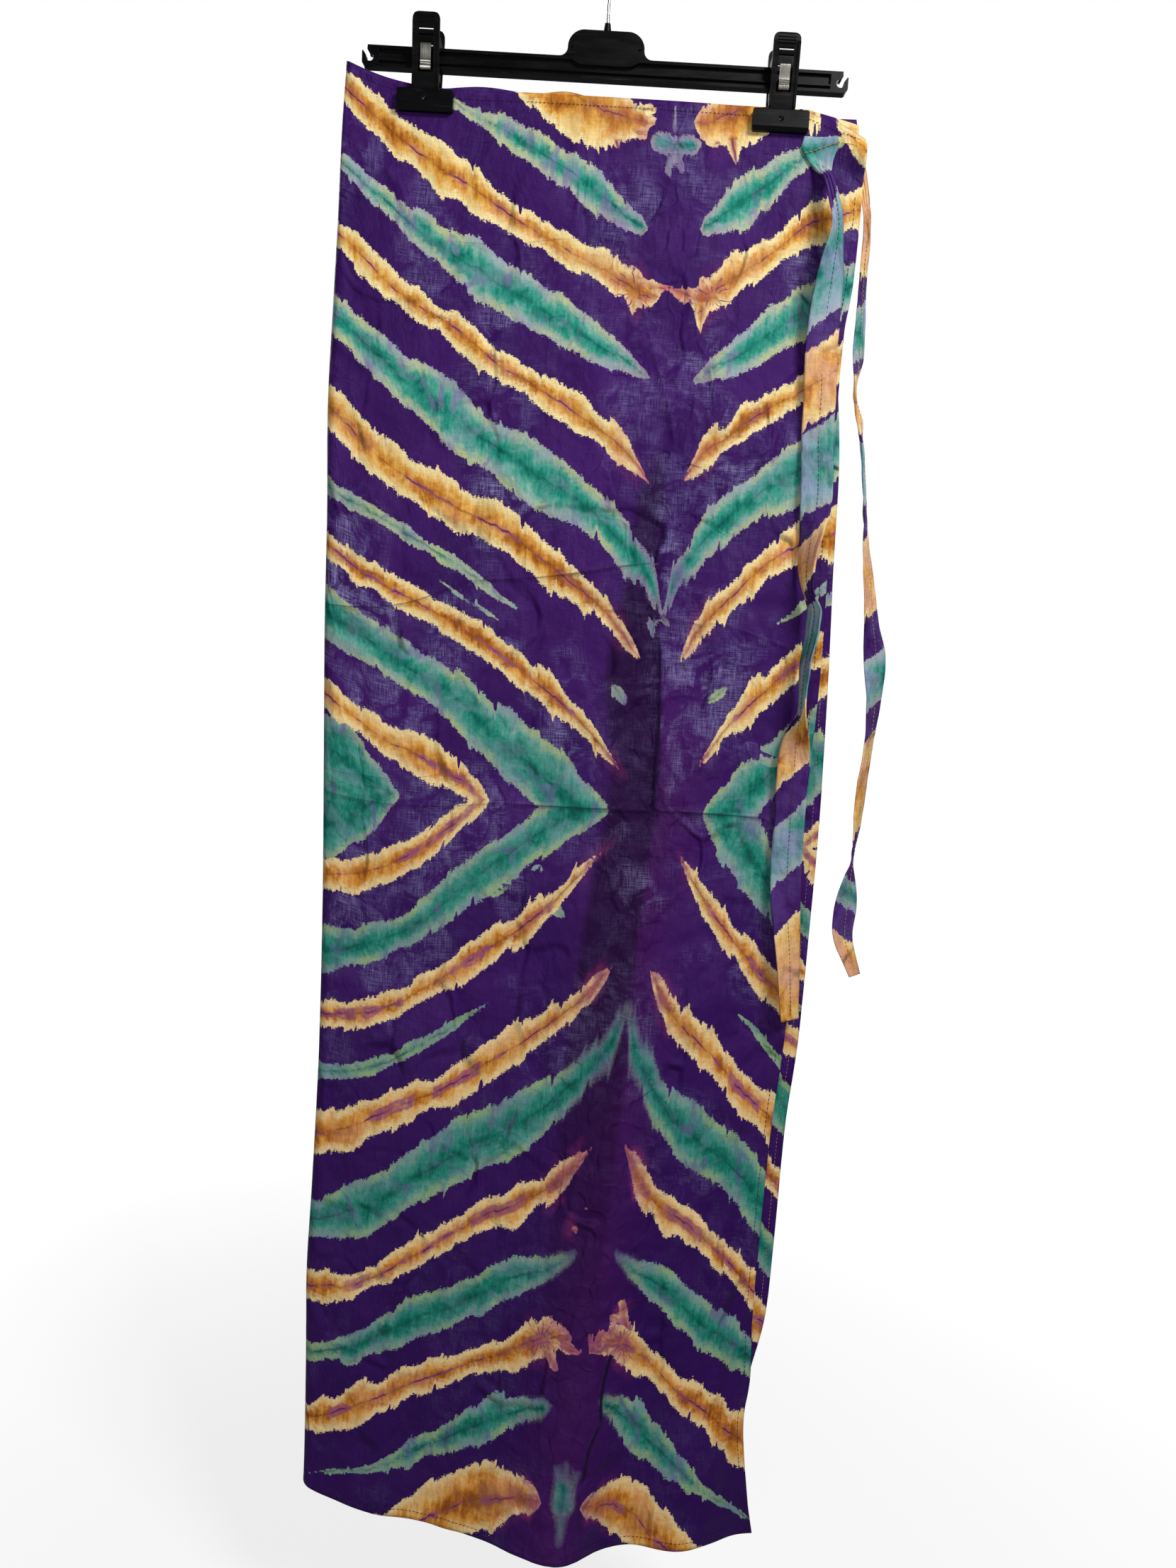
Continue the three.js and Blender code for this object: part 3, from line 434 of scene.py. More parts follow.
def add_blob(field, x, below, at, size, turn):
    """Adds an oval spot of dye: mm inside = (1 - distance / size) * the smaller size."""
    c, s = math.cos(turn), math.sin(turn)
    dx, dz = x - at[0], below - at[1]
    a, b = dx * c + dz * s, -dx * s + dz * c
    lay_dye(field, (1 - np.hypot(a / size[0], b / size[1])) * min(size), b)


FLECKS = {  # (x, below), half sizes, turn in radians
    "orange": [
        ((190, 9), (18, 10), 0.5), ((156, 2), (7, 13), 0), ((28, 873), (3, 5), 0.2), ((36, 855), (1.8, 1.8), 0),
    ],
    "teal": [
        ((38, 442), (9, 4), 0.9), ((115, 438), (9, 4), -0.7), ((-2, 617), (8, 4), 0.6),
        ((-48, 604), (7, 2.6), -0.6), ((60, 389), (7, 3.5), 1.2), ((-92, 372), (12, 1.8), 0.55),
        ((-70, 384), (10, 1.2), 0.55),
    ],
}
# Where a fold pinched the cloth, dye sprays out as petals.
PETALS = {  # x and below at one end, x and below at the other, half width at each
    "orange": [
        (57, 135, 45, 136, 1.2, 6.6), (57, 135, 70, 139, 1.2, 6.0), (27, 135, 33, 138, 9.5, 9.0),
        (31, 143, 32, 157, 5.5, 0.8), (33, 128, 31, 121, 4.0, 1.0), (90, 140, 83, 142, 10.0, 9.5),
        (83, 149, 82, 164, 7.0, 0.8), (84, 132, 81, 126, 4.0, 1.0), (2, 964, 9, 963, 13.0, 12.5),
        (11, 971, 18, 984, 4.0, 3.0), (28, 967, 38, 969, 5.8, 1.0), (46, 968, 53, 957, 2.0, 6.0),
        (46, 969, 44, 957, 1.0, 2.8), (47, 968, 57, 967, 1.0, 5.5), (62, 957, 66, 966, 2.0, 6.5),
        (60, 958, 64, 952, 1.0, 4.5), (66, 944, 63, 942, 3.2, 3.2), (76, 958, 69, 931, 5.0, 3.0),
        (23, 821, 27, 810, 0.8, 1.8), (22, 9, 37, 7, 3.0, 3.0), (21, 16, 37, 15, 3.2, 3.2),
        (20, 22, 31, 25, 3.2, 3.0), (8, 22, 13, 36, 8.0, 1.5), (90, 9, 78, 6, 3.0, 3.0),
        (91, 16, 79, 16, 3.2, 3.2), (92, 24, 84, 29, 3.2, 3.0), (98, 22, 102, 40, 9.0, 1.5),
    ],
    "teal": [
        (66, 380, 61, 374, 1.0, 2.4), (66, 379, 71, 374, 1.0, 2.4), (66, 380, 61, 386, 1.0, 2.6),
        (66, 380, 71, 386, 1.0, 2.6), (54, 31, 44, 30, 6.0, 7.5), (58, 31, 68, 30, 6.0, 7.5),
        (55, 36, 49, 53, 3.2, 1.2), (57, 36, 63, 51, 3.2, 1.2), (56, 38, 56, 57, 3.0, 1.0),
        (54.5, 22, 53, 3, 1.6, 0.9), (31, 1076, 31, 1092, 7.5, 8.5), (31, 1092, 30, 1122, 4.5, 1.5),
        (29, 1078, 24, 1062, 4.0, 1.2), (31, 1076, 32, 1058, 4.5, 1.2), (34, 1080, 41, 1066, 4.0, 1.2),
    ],
}
UNDER_LAYER = 1  # its dye slipped against the front's, which shows where it passes the front's free edge
SLIP = {"below": [0, 300, 485, 600, 740, 820, 1140], "mm": [0, 0, -27, 0, 92, 105, 105]}


def add_petal(field, x, below, x0, b0, x1, b1, near, far):
    """A wedge with a round tip: mm inside = the half width, which changes evenly from end to end, less the distance."""
    run = np.array([x1 - x0, b1 - b0], float)
    size = np.hypot(*run)
    part = ((x - x0) * run[0] + (below - b0) * run[1]) / size**2
    gap = ((x - x0) * run[1] - (below - b0) * run[0]) / size
    past = np.maximum(np.maximum(part - 1, -part) * size, 0)
    lay_dye(field, near + (far - near) * np.clip(part, 0, 1) - np.hypot(gap, past), gap)


def dye_panel(x, below, layer_number):
    """All the dye of a panel: bands, small flecks and petals."""
    slip = along(SLIP, "mm", below) * ease(140, 175, x) if layer_number == UNDER_LAYER else 0
    fields = dye_fields(x, below + slip, layer_number)
    for dye, field in fields.items():
        for fleck in FLECKS[dye]:
            add_blob(field, x, below, *fleck)
        for petal in PETALS[dye]:
            add_petal(field, x, below, *petal)
    return fields


probe = dye_fields(np.array([[-100.0]]), np.array([[340.0]]))
print(len(BANDS), "bands; 340 mm down on the left, orange is", probe["orange"][0, 0, 0].round(1), "mm deep")

# %% [markdown]
# Meshes are made straight from numpy arrays. `foreach_set` copies a whole array at once, which is
# far quicker than a loop. Each cloth mesh carries a UV map in metres of flat cloth, so that the
# weave follows the thread however the cloth is folded, and the dye distances as attributes.

# %% Mesh helpers
def add_object(name, mesh, material=None):
    """Puts a mesh in the scene, at the origin and unturned."""
    made = bpy.data.objects.new(name, mesh)
    bpy.context.scene.collection.objects.link(made)
    if material:
        mesh.materials.append(material)
    return made


def mesh_from(name, points, faces):
    """Smooth mesh from an (n, 3) array in mm and an (m, k) array of corner numbers, k for each face."""
    mesh = bpy.data.meshes.new(name)
    faces = np.asarray(faces, np.int32)
    mesh.vertices.add(len(points))
    mesh.vertices.foreach_set("co", (np.asarray(points) * MM).astype(np.float32).ravel())
    mesh.loops.add(faces.size)
    mesh.loops.foreach_set("vertex_index", faces.ravel())
    mesh.polygons.add(len(faces))
    mesh.polygons.foreach_set("loop_start", np.arange(0, faces.size, faces.shape[1], dtype=np.int32))
    mesh.polygons.foreach_set("use_smooth", np.ones(len(faces), bool))
    mesh.update(calc_edges=True)
    mesh.validate()
    return mesh


def grid_faces(rows, columns, flip=False):
    """Quads of a grid of points, numbered row by row."""
    number = np.arange(rows * columns).reshape(rows, columns)
    a, b, c, d = number[:-1, :-1], number[1:, :-1], number[1:, 1:], number[:-1, 1:]
    corners = (d, c, b, a) if flip else (a, b, c, d)
    return np.stack(corners, -1).reshape(-1, 4)


def put_uv(mesh, name, flat):
    """UV map from one (u, v) pair a vertex, in metres."""
    corner = np.empty(len(mesh.loops), np.int32)
    mesh.loops.foreach_get("vertex_index", corner)
    layer = mesh.uv_layers.new(name=name)
    layer.data.foreach_set("uv", (np.asarray(flat) * MM).astype(np.float32)[corner].ravel())


def put_vector(mesh, name, values):
    """A three number attribute for each vertex."""
    store = mesh.attributes.new(name, "FLOAT_VECTOR", "POINT")
    store.data.foreach_set("vector", np.asarray(values, np.float32).ravel())


def cloth_sheet(name, points, flat, fields, thick, flip=False):
    """A cloth grid as a mesh with its UV map, dye attributes and a wall that stays a thin closed shell."""
    mesh = mesh_from(name, points.reshape(-1, 3), grid_faces(*points.shape[:2], flip))
    put_uv(mesh, "cloth", flat.reshape(-1, 2))
    for key, values in fields.items():
        put_vector(mesh, key, values.reshape(-1, 3))
    made = add_object(name, mesh)
    wall = made.modifiers.new("wall", "SOLIDIFY")
    wall.thickness, wall.offset, wall.use_even_offset = thick * MM, 0.0, False
    return made


print("mesh helpers ready")

# %% Build the four panels
GRIDS = {"front_wrap": (340, 138), "under_wrap": (260, 100), "inner_back": (180, 70), "outer_back": (300, 124)}
GATHER = 0.3  # how much closer a grid's columns stand at both edges
REACH = 372.0  # mean length of cloth in a back layer
UNFOLD = {"front_wrap": (0, -1), "outer_back": (0, 1), "inner_back": (2 * REACH, -1), "under_wrap": (2 * REACH, 1)}
THICK = {"front_wrap": 0.8, "under_wrap": 0.7, "inner_back": 0.7, "outer_back": 0.8}
# Edges in x of the painted shade on the left side of the centre pleat, at each distance below the waist
PLEAT_SHADE = {"below": [240, 290, 360, 430, 505, 640, 800, 1140],
         "left": [57, 45, 38, 27, 36, 20, 11, 2], "right": [63, 63, 63, 68, 74, 64, 58, 36]}
RIDGE, RIDGE_FROM, RIDGE_TO = 0.5, 8.5, 6.0  # a hem's extra height, and the mm from the edge where it rises


def pleat_shade_of(x, below):
    """Painted shade down the left side of the centre pleat, where it turns from the light, 0 to 1."""
    left, right = along(PLEAT_SHADE, "left", below), along(PLEAT_SHADE, "right", below)
    return ease(left - 4, left + 3, x) * ease(right + 3, right - 3, x) * ease(240, 290, below) * ease(1100, 640, below)


def sheen_of(x, below):
    """Where the cloth is glossier and its ground is painted lighter as a painted sheen: the upper middle, more on the
    left of the spine.
    """
    top = 0.55 * np.exp(-(((below - 420) / 260) ** 2)) + 0.15 * np.exp(-(((below - 90) / 120) ** 2))
    return np.clip(top + 0.06, 0, 1) * (1 - 0.5 * np.exp(-(((x - 45) / 26) ** 2)) * ease(330, 420, below))


def hem_ridge(layer, run, below):
    """Turned hems double the cloth along the free edge, and 1.5 mm narrower at the waist and the bottom."""
    edge = np.minimum(below, LENGTH - below) + 1.5
    if OUTWARD[layer] < 0:
        edge = np.minimum(edge, reach(layer, below) - run)
    return RIDGE * ease(RIDGE_FROM, RIDGE_TO, edge)


def build_panel(layer, number):
    """One layer as a grid of cloth, finer towards both edges, with its dye, place and crease fields."""
    rows, columns = GRIDS[layer]
    below = np.linspace(0, LENGTH, rows)[:, None]
    even = np.linspace(0, 1, columns)[None, :]
    run = (even - GATHER * np.sin(2 * np.pi * even) / (2 * np.pi)) * reach(layer, below)
    points, x = cloth_points(layer, run, below)
    points[..., 1] += OUTWARD[layer] * hem_ridge(layer, run, below)
    fields = dye_panel(x, below + 0 * x, number)
    out, _ = quarter_place(x, below)
    fields["place"] = np.stack(np.broadcast_arrays(out, below, sheen_of(x, below)), -1)
    fields["crease"] = crease_field(x, below, creases_of(layer))
    # its third number is the painted shade of the centre pleat's shaded side
    fields["crease"][..., 2] = pleat_shade_of(x, below)
    begin, sense = UNFOLD[layer]
    flat = np.stack(np.broadcast_arrays(begin + sense * run, -below), -1)
    return cloth_sheet(f"{layer}_cloth", points, flat, fields, THICK[layer], flip=OUTWARD[layer] > 0)


panels = {layer: build_panel(layer, number) for number, layer in enumerate(LAYERS)}
print({name: len(piece.data.polygons) for name, piece in panels.items()})

# %% [markdown]
# Materials are node trees, written here as formulas. A wire stands for one output of a node, and
# each sign or method used on it makes the next node. A shared effect is a node group: it is built
# once, has named inputs and outputs, and each material sets its own values.

# %% Wires
class Wire:
    """One output of a node. Whatever is done to it makes a new node and gives that node's wire."""

    def __init__(self, socket, tree):
        self.socket, self.tree = socket, tree

    def math(self, operation, *others, clamp=False):
        return node(self.tree, "ShaderNodeMath", enumerate((self, *others)), operation=operation, use_clamp=clamp)[0]

    def vector(self, operation, other=(0, 0, 0)):
        return node(self.tree, "ShaderNodeVectorMath", {0: self, 1: other}, operation=operation)

    def __add__(self, other):
        return self.math("ADD", other)

    def __sub__(self, other):
        return self.math("SUBTRACT", other)

    def __mul__(self, other):
        return self.math("MULTIPLY", other)

    def __truediv__(self, other):
        return self.math("DIVIDE", other)

    def __abs__(self):
        return self.math("ABSOLUTE")

    def swing(self, size):
        """Turns a noise of 0 to 1 into one about nothing: (noise - 1/2) * size."""
        return (self - 0.5) * size

    def spread(self, low, high, to_low=0.0, to_high=1.0, smooth=False):
        """Maps low..high to to_low..to_high and holds it there."""
        return node(self.tree, "ShaderNodeMapRange", {0: self, 1: low, 2: high, 3: to_low, 4: to_high},
                    interpolation_type="SMOOTHSTEP" if smooth else "LINEAR", clamp=True)[0]

    def split(self):
        """The three parts of a vector."""
        parts = node(self.tree, "ShaderNodeSeparateXYZ", {0: self})
        return parts[0], parts[1], parts[2]

    def joined(self, second, third=0.0):
        """The vector (this, second, third)."""
        return node(self.tree, "ShaderNodeCombineXYZ", {0: self, 1: second, 2: third})[0]

    def stretch(self, *factors):
        return self.vector("MULTIPLY", factors)[0]

    def grain(self, scale, detail, roughness=0.5, distortion=0.0):
        """Fractal noise of this place, 0 to 1."""
        return node(self.tree, "ShaderNodeTexNoise", {"Vector": self, "Scale": scale, "Detail": detail,
                                                      "Roughness": roughness, "Distortion": distortion})[0]

    def bump(self, distance, strength=1.0, **normal):
        """The surface's normal when this height, times a distance in metres, stands on it."""
        values = {"Height": self, "Distance": distance, "Strength": strength, **normal}
        return node(self.tree, "ShaderNodeBump", values)[0]

    def ramp(self, stops):
        made = self.tree.nodes.new("ShaderNodeValToRGB")
        plug(made.inputs[0], self)
        bar = made.color_ramp.elements
        while len(bar) < len(stops):
            bar.new(0.5)
        for element, (at, colour) in zip(bar, stops):
            element.position, element.color = at, ink(colour)
        return Wire(made.outputs[0], self.tree)


print("a wire can", sorted(name for name in vars(Wire) if not name.startswith("_")))

# %% Node helpers
def ink(text):
    """A colour written #rrggbb as Blender's linear red, green, blue, alpha."""
    parts = [int(text[i:i + 2], 16) / 255 for i in (1, 3, 5)]
    return tuple(c / 12.92 if c <= 0.04045 else ((c + 0.055) / 1.055) ** 2.4 for c in parts) + (1.0,)


def plug(socket, value):
    """Feeds a node's input with a wire, a colour written #rrggbb, or a plain value."""
    if isinstance(value, Wire):
        value.tree.links.new(value.socket, socket)
    else:
        socket.default_value = ink(value) if isinstance(value, str) else value


def node(tree, kind, values=(), **settings):
    """Makes a node, feeds its inputs, and gives its outputs as wires, by number and by name."""
    made = tree.nodes.new(kind)
    for key, value in settings.items():
        setattr(made, key, value)
    for key, value in dict(values).items():
        plug(made.inputs[key], value)
    wires = [Wire(socket, tree) for socket in made.outputs]
    return {**dict(enumerate(wires)), **{wire.socket.name: wire for wire in wires}}


def blend(share, first, second, mode="MIX"):
    """Mixes two colours: share 0 gives the first and 1 the second."""
    tree = next(value.tree for value in (share, first, second) if isinstance(value, Wire))
    return node(tree, "ShaderNodeMix", {0: share, 6: first, 7: second}, data_type="RGBA", blend_type=mode)[2]


def effect(name, inputs, outputs, formula):
    """A node group: inputs are (name, socket type, default), outputs {name: socket type}."""
    tree = bpy.data.node_groups.new(name, "ShaderNodeTree")
    for title, kind, default in inputs:
        socket = tree.interface.new_socket(title, in_out="INPUT", socket_type=kind)
        if default is not None:
            socket.default_value = default
    for title, kind in outputs.items():
        tree.interface.new_socket(title, in_out="OUTPUT", socket_type=kind)
    given, end = node(tree, "NodeGroupInput"), tree.nodes.new("NodeGroupOutput")
    for title, wire in formula(given).items():
        plug(end.inputs[title], wire)
    print("group", name, "gives", list(outputs))
    return tree


def new_material(name):
    """A material with one Principled shader; gives it, its tree, and a function that feeds the shader."""
    material = bpy.data.materials.new(name)
    material.use_nodes = True
    tree = material.node_tree
    tree.nodes.clear()
    shader = tree.nodes.new("ShaderNodeBsdfPrincipled")
    tree.links.new(shader.outputs[0], tree.nodes.new("ShaderNodeOutputMaterial").inputs[0])

    def feed(values):
        for title, value in values.items():
            plug(shader.inputs[title], value)

    return material, tree, feed


VALUE, VECTOR, COLOUR = "NodeSocketFloat", "NodeSocketVector", "NodeSocketColor"
print("half grey #808080 is", round(ink("#808080")[0], 3), "in linear light")

# %% [markdown]
# The weave is a plain one: threads pass over and under each other in a checker, about 0.6 mm
# apart. Two crossed sine waves give that height. Real thread is uneven, so long thin streaks run
# along both directions, and they also make the dye take a little lighter or darker.

# %% Weave group
def weave(given):
    """Height is sin(u) * sin(v) of the thread count; Slub is the mean of two noises, stretched along u and along v."""
    cloth, turns = given["Cloth"], given["Threads"] * math.pi
    u, v, _ = cloth.split()
    checker = (u * turns).math("SINE") * (v * turns).math("SINE") * 0.5 + 0.5
    across, down = (cloth.stretch(*way, 1).grain(1.0, 3, 0.6) for way in ((0.07, 1.2), (1.2, 0.07)))
    return {"Height": checker, "Slub": (across + down) * 0.5}


WEAVE = effect("plain_weave", [("Cloth", VECTOR, None), ("Threads", VALUE, 1.7)],
               {"Height": VALUE, "Slub": VALUE}, weave)

# %% [markdown]
# Cotton that was packed tight keeps a net of small sharp creases, and each patch between them
# leans its own way. A net of random cells gives that: one plane for each cell, with the joins
# rounded a little. It is used twice, with large and with small cells.

# %% Crumple group
def crumple(given):
    """Height = lean of the cell . way from its middle, in mm; Chance is one random number a cell."""
    cloth = given["Cloth"]
    bent = node(cloth.tree, "ShaderNodeTexNoise", {"Vector": cloth, "Scale": 0.02, "Detail": 2.0})["Color"]
    pushed = bent.stretch(22, 22, 0).vector("ADD", cloth)[0]
    cell = node(cloth.tree, "ShaderNodeTexVoronoi",
                {"Vector": pushed.stretch(1, 0.7, 1), "Scale": given["Cells"], "Smoothness": 0.45},
                voronoi_dimensions="2D", feature="SMOOTH_F1")
    lean = cell["Color"].vector("SUBTRACT", (0.5, 0.5, 0.5))[0]
    way = pushed.stretch(1, 0.7, 0).vector("SUBTRACT", cell["Position"])[0]
    chance = node(cloth.tree, "ShaderNodeSeparateColor", {0: cell["Color"]})[1]
    return {"Height": lean.vector("DOT_PRODUCT", way.stretch(1, 1, 0))[1], "Chance": chance}


CRUMPLE = effect("crumpled_cloth", [("Cloth", VECTOR, None), ("Cells", VALUE, 0.03)],
                 {"Height": VALUE, "Chance": VALUE}, crumple)

# %% [markdown]
# Dye creeps along threads, so a band's edge is ragged: small teeth one or two threads wide,
# wider flames, and now and then a notch where a fold kept the dye out. The group adds those to
# the smooth distance that the mesh carries. It puts out the new depth and a crisp mask.

# %% Ragged edge group
def ragged_edge(given):
    """Depth = inside + teeth + threads + combs + flames + steps - notches + lobes, in mm.

    Heart is 0 at the rim and 1 at the middle. Where a band is thin, all but the lobes are held back.
    """
    inside, across, run = given["Band"].split()
    cloth, side = given["Cloth"], across.math("SIGN")
    along_band = run.joined(across * 0.22, side * 3.7)
    half = inside + abs(across)
    calm = half.spread(1.5, 9.0, 0.3, 1.0)
    depth = inside
    for size, noise in [(given["Teeth"], cloth.grain(0.42, 2, 0.7)),
                        (3.2, cloth.stretch(0.3, 1.5, 1).grain(1.0, 1)),
                        (2.6, cloth.stretch(1.5, 0.3, 1).grain(1.0, 1)),
                        (3.6, along_band.grain(0.28, 1, 0.5)),
                        (given["Flames"], along_band.grain(0.055, 2, 0.6))]:
        depth = noise.swing(size) * calm + depth
    cell = node(cloth.tree, "ShaderNodeTexVoronoi", {"W": side * 31.3 + run * 0.05, "Scale": 1.0},
                voronoi_dimensions="1D")["Color"]
    step = node(cloth.tree, "ShaderNodeSeparateColor", {0: cell})[0]
    slits = along_band.stretch(1, 0.5, 2.3).grain(0.12, 1)
    depth = step.swing(4.0) * calm + depth
    depth = depth - slits.spread(0.67, 0.75) * given["Notches"] * calm + slits.spread(0.36, 0.3) * 2.6
    heart = inside.math("DIVIDE", half.math("MAXIMUM", 4.0), clamp=True)
    return {"Depth": depth, "Mask": depth.spread(-0.15, 0.3), "Across": across, "Run": run, "Heart": heart}


BAND_PLACE = ("Depth", "Across", "Run", "Heart")
RAGGED = effect("ragged_dye_edge", [("Band", VECTOR, None), ("Cloth", VECTOR, None), ("Teeth", VALUE, 6.0),
                                    ("Flames", VALUE, 12.0), ("Notches", VALUE, 9.0)],
                {"Mask": VALUE, **{title: VALUE for title in BAND_PLACE}}, ragged_edge)

# %% [markdown]
# Where the thread was knotted, the cloth was gathered to a point. Dye could not reach the depth
# of each small pleat there, so thin violet rays cross the bands around the knot.

# %% Rays group
def rays(given):
    """Mask of thin rays about a knot: distance to the nearest one = |sin(n * angle / 2 + noise)| * r / n."""
    knot_out, knot_below, _ = given["Knot"].split()
    right, down = given["Out"] - knot_out, given["Below"] - knot_below
    far = (right * right + down * down).math("SQRT")
    angle = down.math("ARCTAN2", right) * (given["Count"] * 0.5)
    gap = abs((given["Bend"] * 5.0 + angle).math("SINE")) * far / given["Count"]
    thin = gap.spread(0.34, 0.14) * far.spread(2.0, 6.0) * given["Chance"].spread(0.42, 0.56)
    ends = given["Fray"] * 12.0 + (far - given["Radius"])
    return {"Mask": thin * ends.spread(6.0, 3.0)}


RAYS = effect("knot_rays", [("Out", VALUE, 0.0), ("Below", VALUE, 0.0), ("Knot", VECTOR, None), ("Radius", VALUE, 16.0),
                            ("Count", VALUE, 14.0), ("Bend", VALUE, 0.5), ("Fray", VALUE, 0.5), ("Chance", VALUE, 0.5)],
              {"Mask": VALUE}, rays)
KNOTS_TIED = [  # (out from the spine, below the waist, 0), radius in mm, rays
    ((0, 31, 0), 20.0, 12), ((6, 135, 0), 17.0, 10), ((33, 140, 0), 19.0, 11), ((4, 968, 0), 14.0, 14),
    ((37, 965, 0), 21.0, 15), ((1, 379, 0), 9.0, 9),
]

# %% [markdown]
# Each dye has its own way of filling a band. Orange is cream at the rim, then golden, then
# rust-brown along the middle, with a magenta vein where the binding thread lay. Teal has a
# yellow-green rim, a grey-lavender zone and a deep green heart.

# %% Orange group
BAND_INPUTS = [("Low", VALUE, 0.0), ("Out", VALUE, 100.0), ("Cloth", VECTOR, None),
               *((title, VALUE, 0.0) for title in BAND_PLACE)]
VEIN_SWING = 7.0  # mm that a vein wanders across the band
EDGE_SWING = 9.0  # mm that the inner edge of the rim wanders


def shaded_heart(given, share, cloudy, wisps, strokes):
    """Heart times share, plus clouds, thread wisps and short strokes across the band."""
    cloth = given["Cloth"]
    along_band = given["Run"].joined(given["Across"] * 0.16)
    return (given["Heart"] * share + cloth.grain(0.07, 4, 0.62, 0.6).swing(cloudy)
            + cloth.stretch(1, 0.4, 1).grain(0.45, 3, 0.6).swing(wisps)
            + along_band.grain(0.2, 2, 0.6, 0.3).swing(strokes))


def vein_line(given, start):
    """How far a wandering line along the band's middle is, in mm, and a noise that says where it shows."""
    line = given["Run"].joined(start)
    return abs(given["Across"] + line.grain(0.09, 3).swing(VEIN_SWING)), line.grain(0.028, 2, 0.7)


def orange_band(given):
    """Cream, gold and brown from rim to middle, then veins, then stains that deepen towards the spine."""
    cloth, out, low = given["Cloth"], given["Out"], given["Low"]
    shade = shaded_heart(given, 0.62, 1.5, 0.5, 0.9) + cloth.grain(0.016, 2, 0.5).swing(1.3)
    gold = shade.ramp([(0.02, "#e2c07c"), (0.22, "#dcaa56"), (0.42, "#cf913a"), (0.62, "#b26e24"), (0.85, "#8c4d14")])
    gold = blend(cloth.grain(0.02, 2, 0.5, 0.4).spread(0.52, 0.66) * 0.45, gold, "#dca273")
    depth = given["Depth"] + cloth.grain(0.3, 3, 0.6).swing(EDGE_SWING)
    colour = blend(depth.spread(1.8, 7.0), "#e8d59c", gold)

    gap, here = vein_line(given, 0.0)
    colour = blend(gap.spread(1.0, 0.2) * here.spread(0.5, 0.4) * 0.6, colour, "#7a4214")
    colour = blend(gap.spread(5.0, 0.5) * here.spread(0.5, 0.62) * 0.65, colour, "#b9686a")
    wide = given["Run"].joined(17.0).grain(0.022, 2, 0.6).spread(0.42, 0.6, 0.0, 4.6) * low + 0.5
    streak = (wide - gap).math("MULTIPLY", 0.8, clamp=True) * cloth.grain(0.16, 2, 0.6).spread(0.32, 0.55, 0.35, 0.85)
    colour = blend(streak * here.spread(0.42, 0.5), colour, "#94507a")
    colour = blend(gap.spread(0.9, 0.4) * here.spread(0.49, 0.56) * 0.9, colour, "#5d2158")

    stain = out.spread(62, 8) * cloth.grain(0.07, 3, 0.6).spread(0.34, 0.56)
    colour = blend(stain * 0.75, colour, "#b5605e")
    violet = out.spread(46, 26) * low * 0.7 * cloth.grain(0.09, 3, 0.6).spread(0.4, 0.55)
    colour = blend(violet, colour, "#95527c")
    rust = out.spread(110, 30) * given["Heart"].spread(0.3, 0.8)
    return {"Colour": blend(rust * 0.4, colour, "#8f551b")}


ORANGE = effect("orange_band", BAND_INPUTS, {"Colour": COLOUR}, orange_band)

# %% Teal group
def teal_band(given):
    """Yellow-green or grey rim, sea green to the middle, lilac and violet clouds, one dark vein."""
    cloth, out = given["Cloth"], given["Out"]
    shade = shaded_heart(given, 0.75, 1.25, 0.6, 0.6)
    sea = shade.ramp([(0.02, "#8cada2"), (0.2, "#6da394"), (0.4, "#449786"), (0.6, "#1d8674"), (0.85, "#06665a")])
    lilac = cloth.stretch(0.8, 1, 1).grain(0.05, 3, 0.6, 0.5).spread(0.5, 0.64)
    sea = blend(lilac * 0.4, sea, "#7f93a6")
    depth = (given["Depth"] + cloth.grain(0.26, 3, 0.6).swing(EDGE_SWING)) * out.spread(40, 12, 1.0, 2.4)
    rim = blend(cloth.grain(0.03, 2, 0.5).spread(0.38, 0.6), "#949fa6", "#b1b98b")
    colour = blend(depth.spread(1.5, 9.0, smooth=True), rim, sea)
    violet = cloth.stretch(1, 0.55, 1).grain(0.055, 3, 0.6, 0.8).spread(0.57, 0.66)
    colour = blend(violet * 0.6, colour, "#76659a")
    gap, here = vein_line(given, 40.0)
    colour = blend(gap.spread(1.3, 0.3) * here.spread(0.44, 0.58) * 0.5, colour, "#0e4a44")
    near = out.spread(56, 14) * given["Depth"].spread(6, 2)
    return {"Colour": blend(near * 0.65, colour, "#73558a")}


TEAL = effect("teal_band", BAND_INPUTS, {"Colour": COLOUR}, teal_band)

# %% [markdown]
# The cotton puts it all together. Its ground is violet, plum down the spine, and darker low down in painted shade.
# The bands lie on it, each with its own ragged mask. Then come the painted shade of the creases and of the pleat's
# shaded side, the patches of painted sheen where the cloth is glossier, and the height of wrinkles, creases and
# threads.

# %% Ground of the cloth
DYES = {  # a band's own colours, its edge, the tint that darkens it low down as painted shade, its rays, and its colour on a faded tie
    "orange": {"group": ORANGE, "edge": {}, "low": "#efe4e4", "ray": "#6e2f68", "ray_share": 0.85, "washed": "#d8a486"},
    "teal": {"group": TEAL, "edge": {"Flames": 10.0, "Notches": 6.0}, "low": "#bad6d6", "ray": "#654a86",
             "ray_share": 0.8, "washed": "#8e96b8"},
}


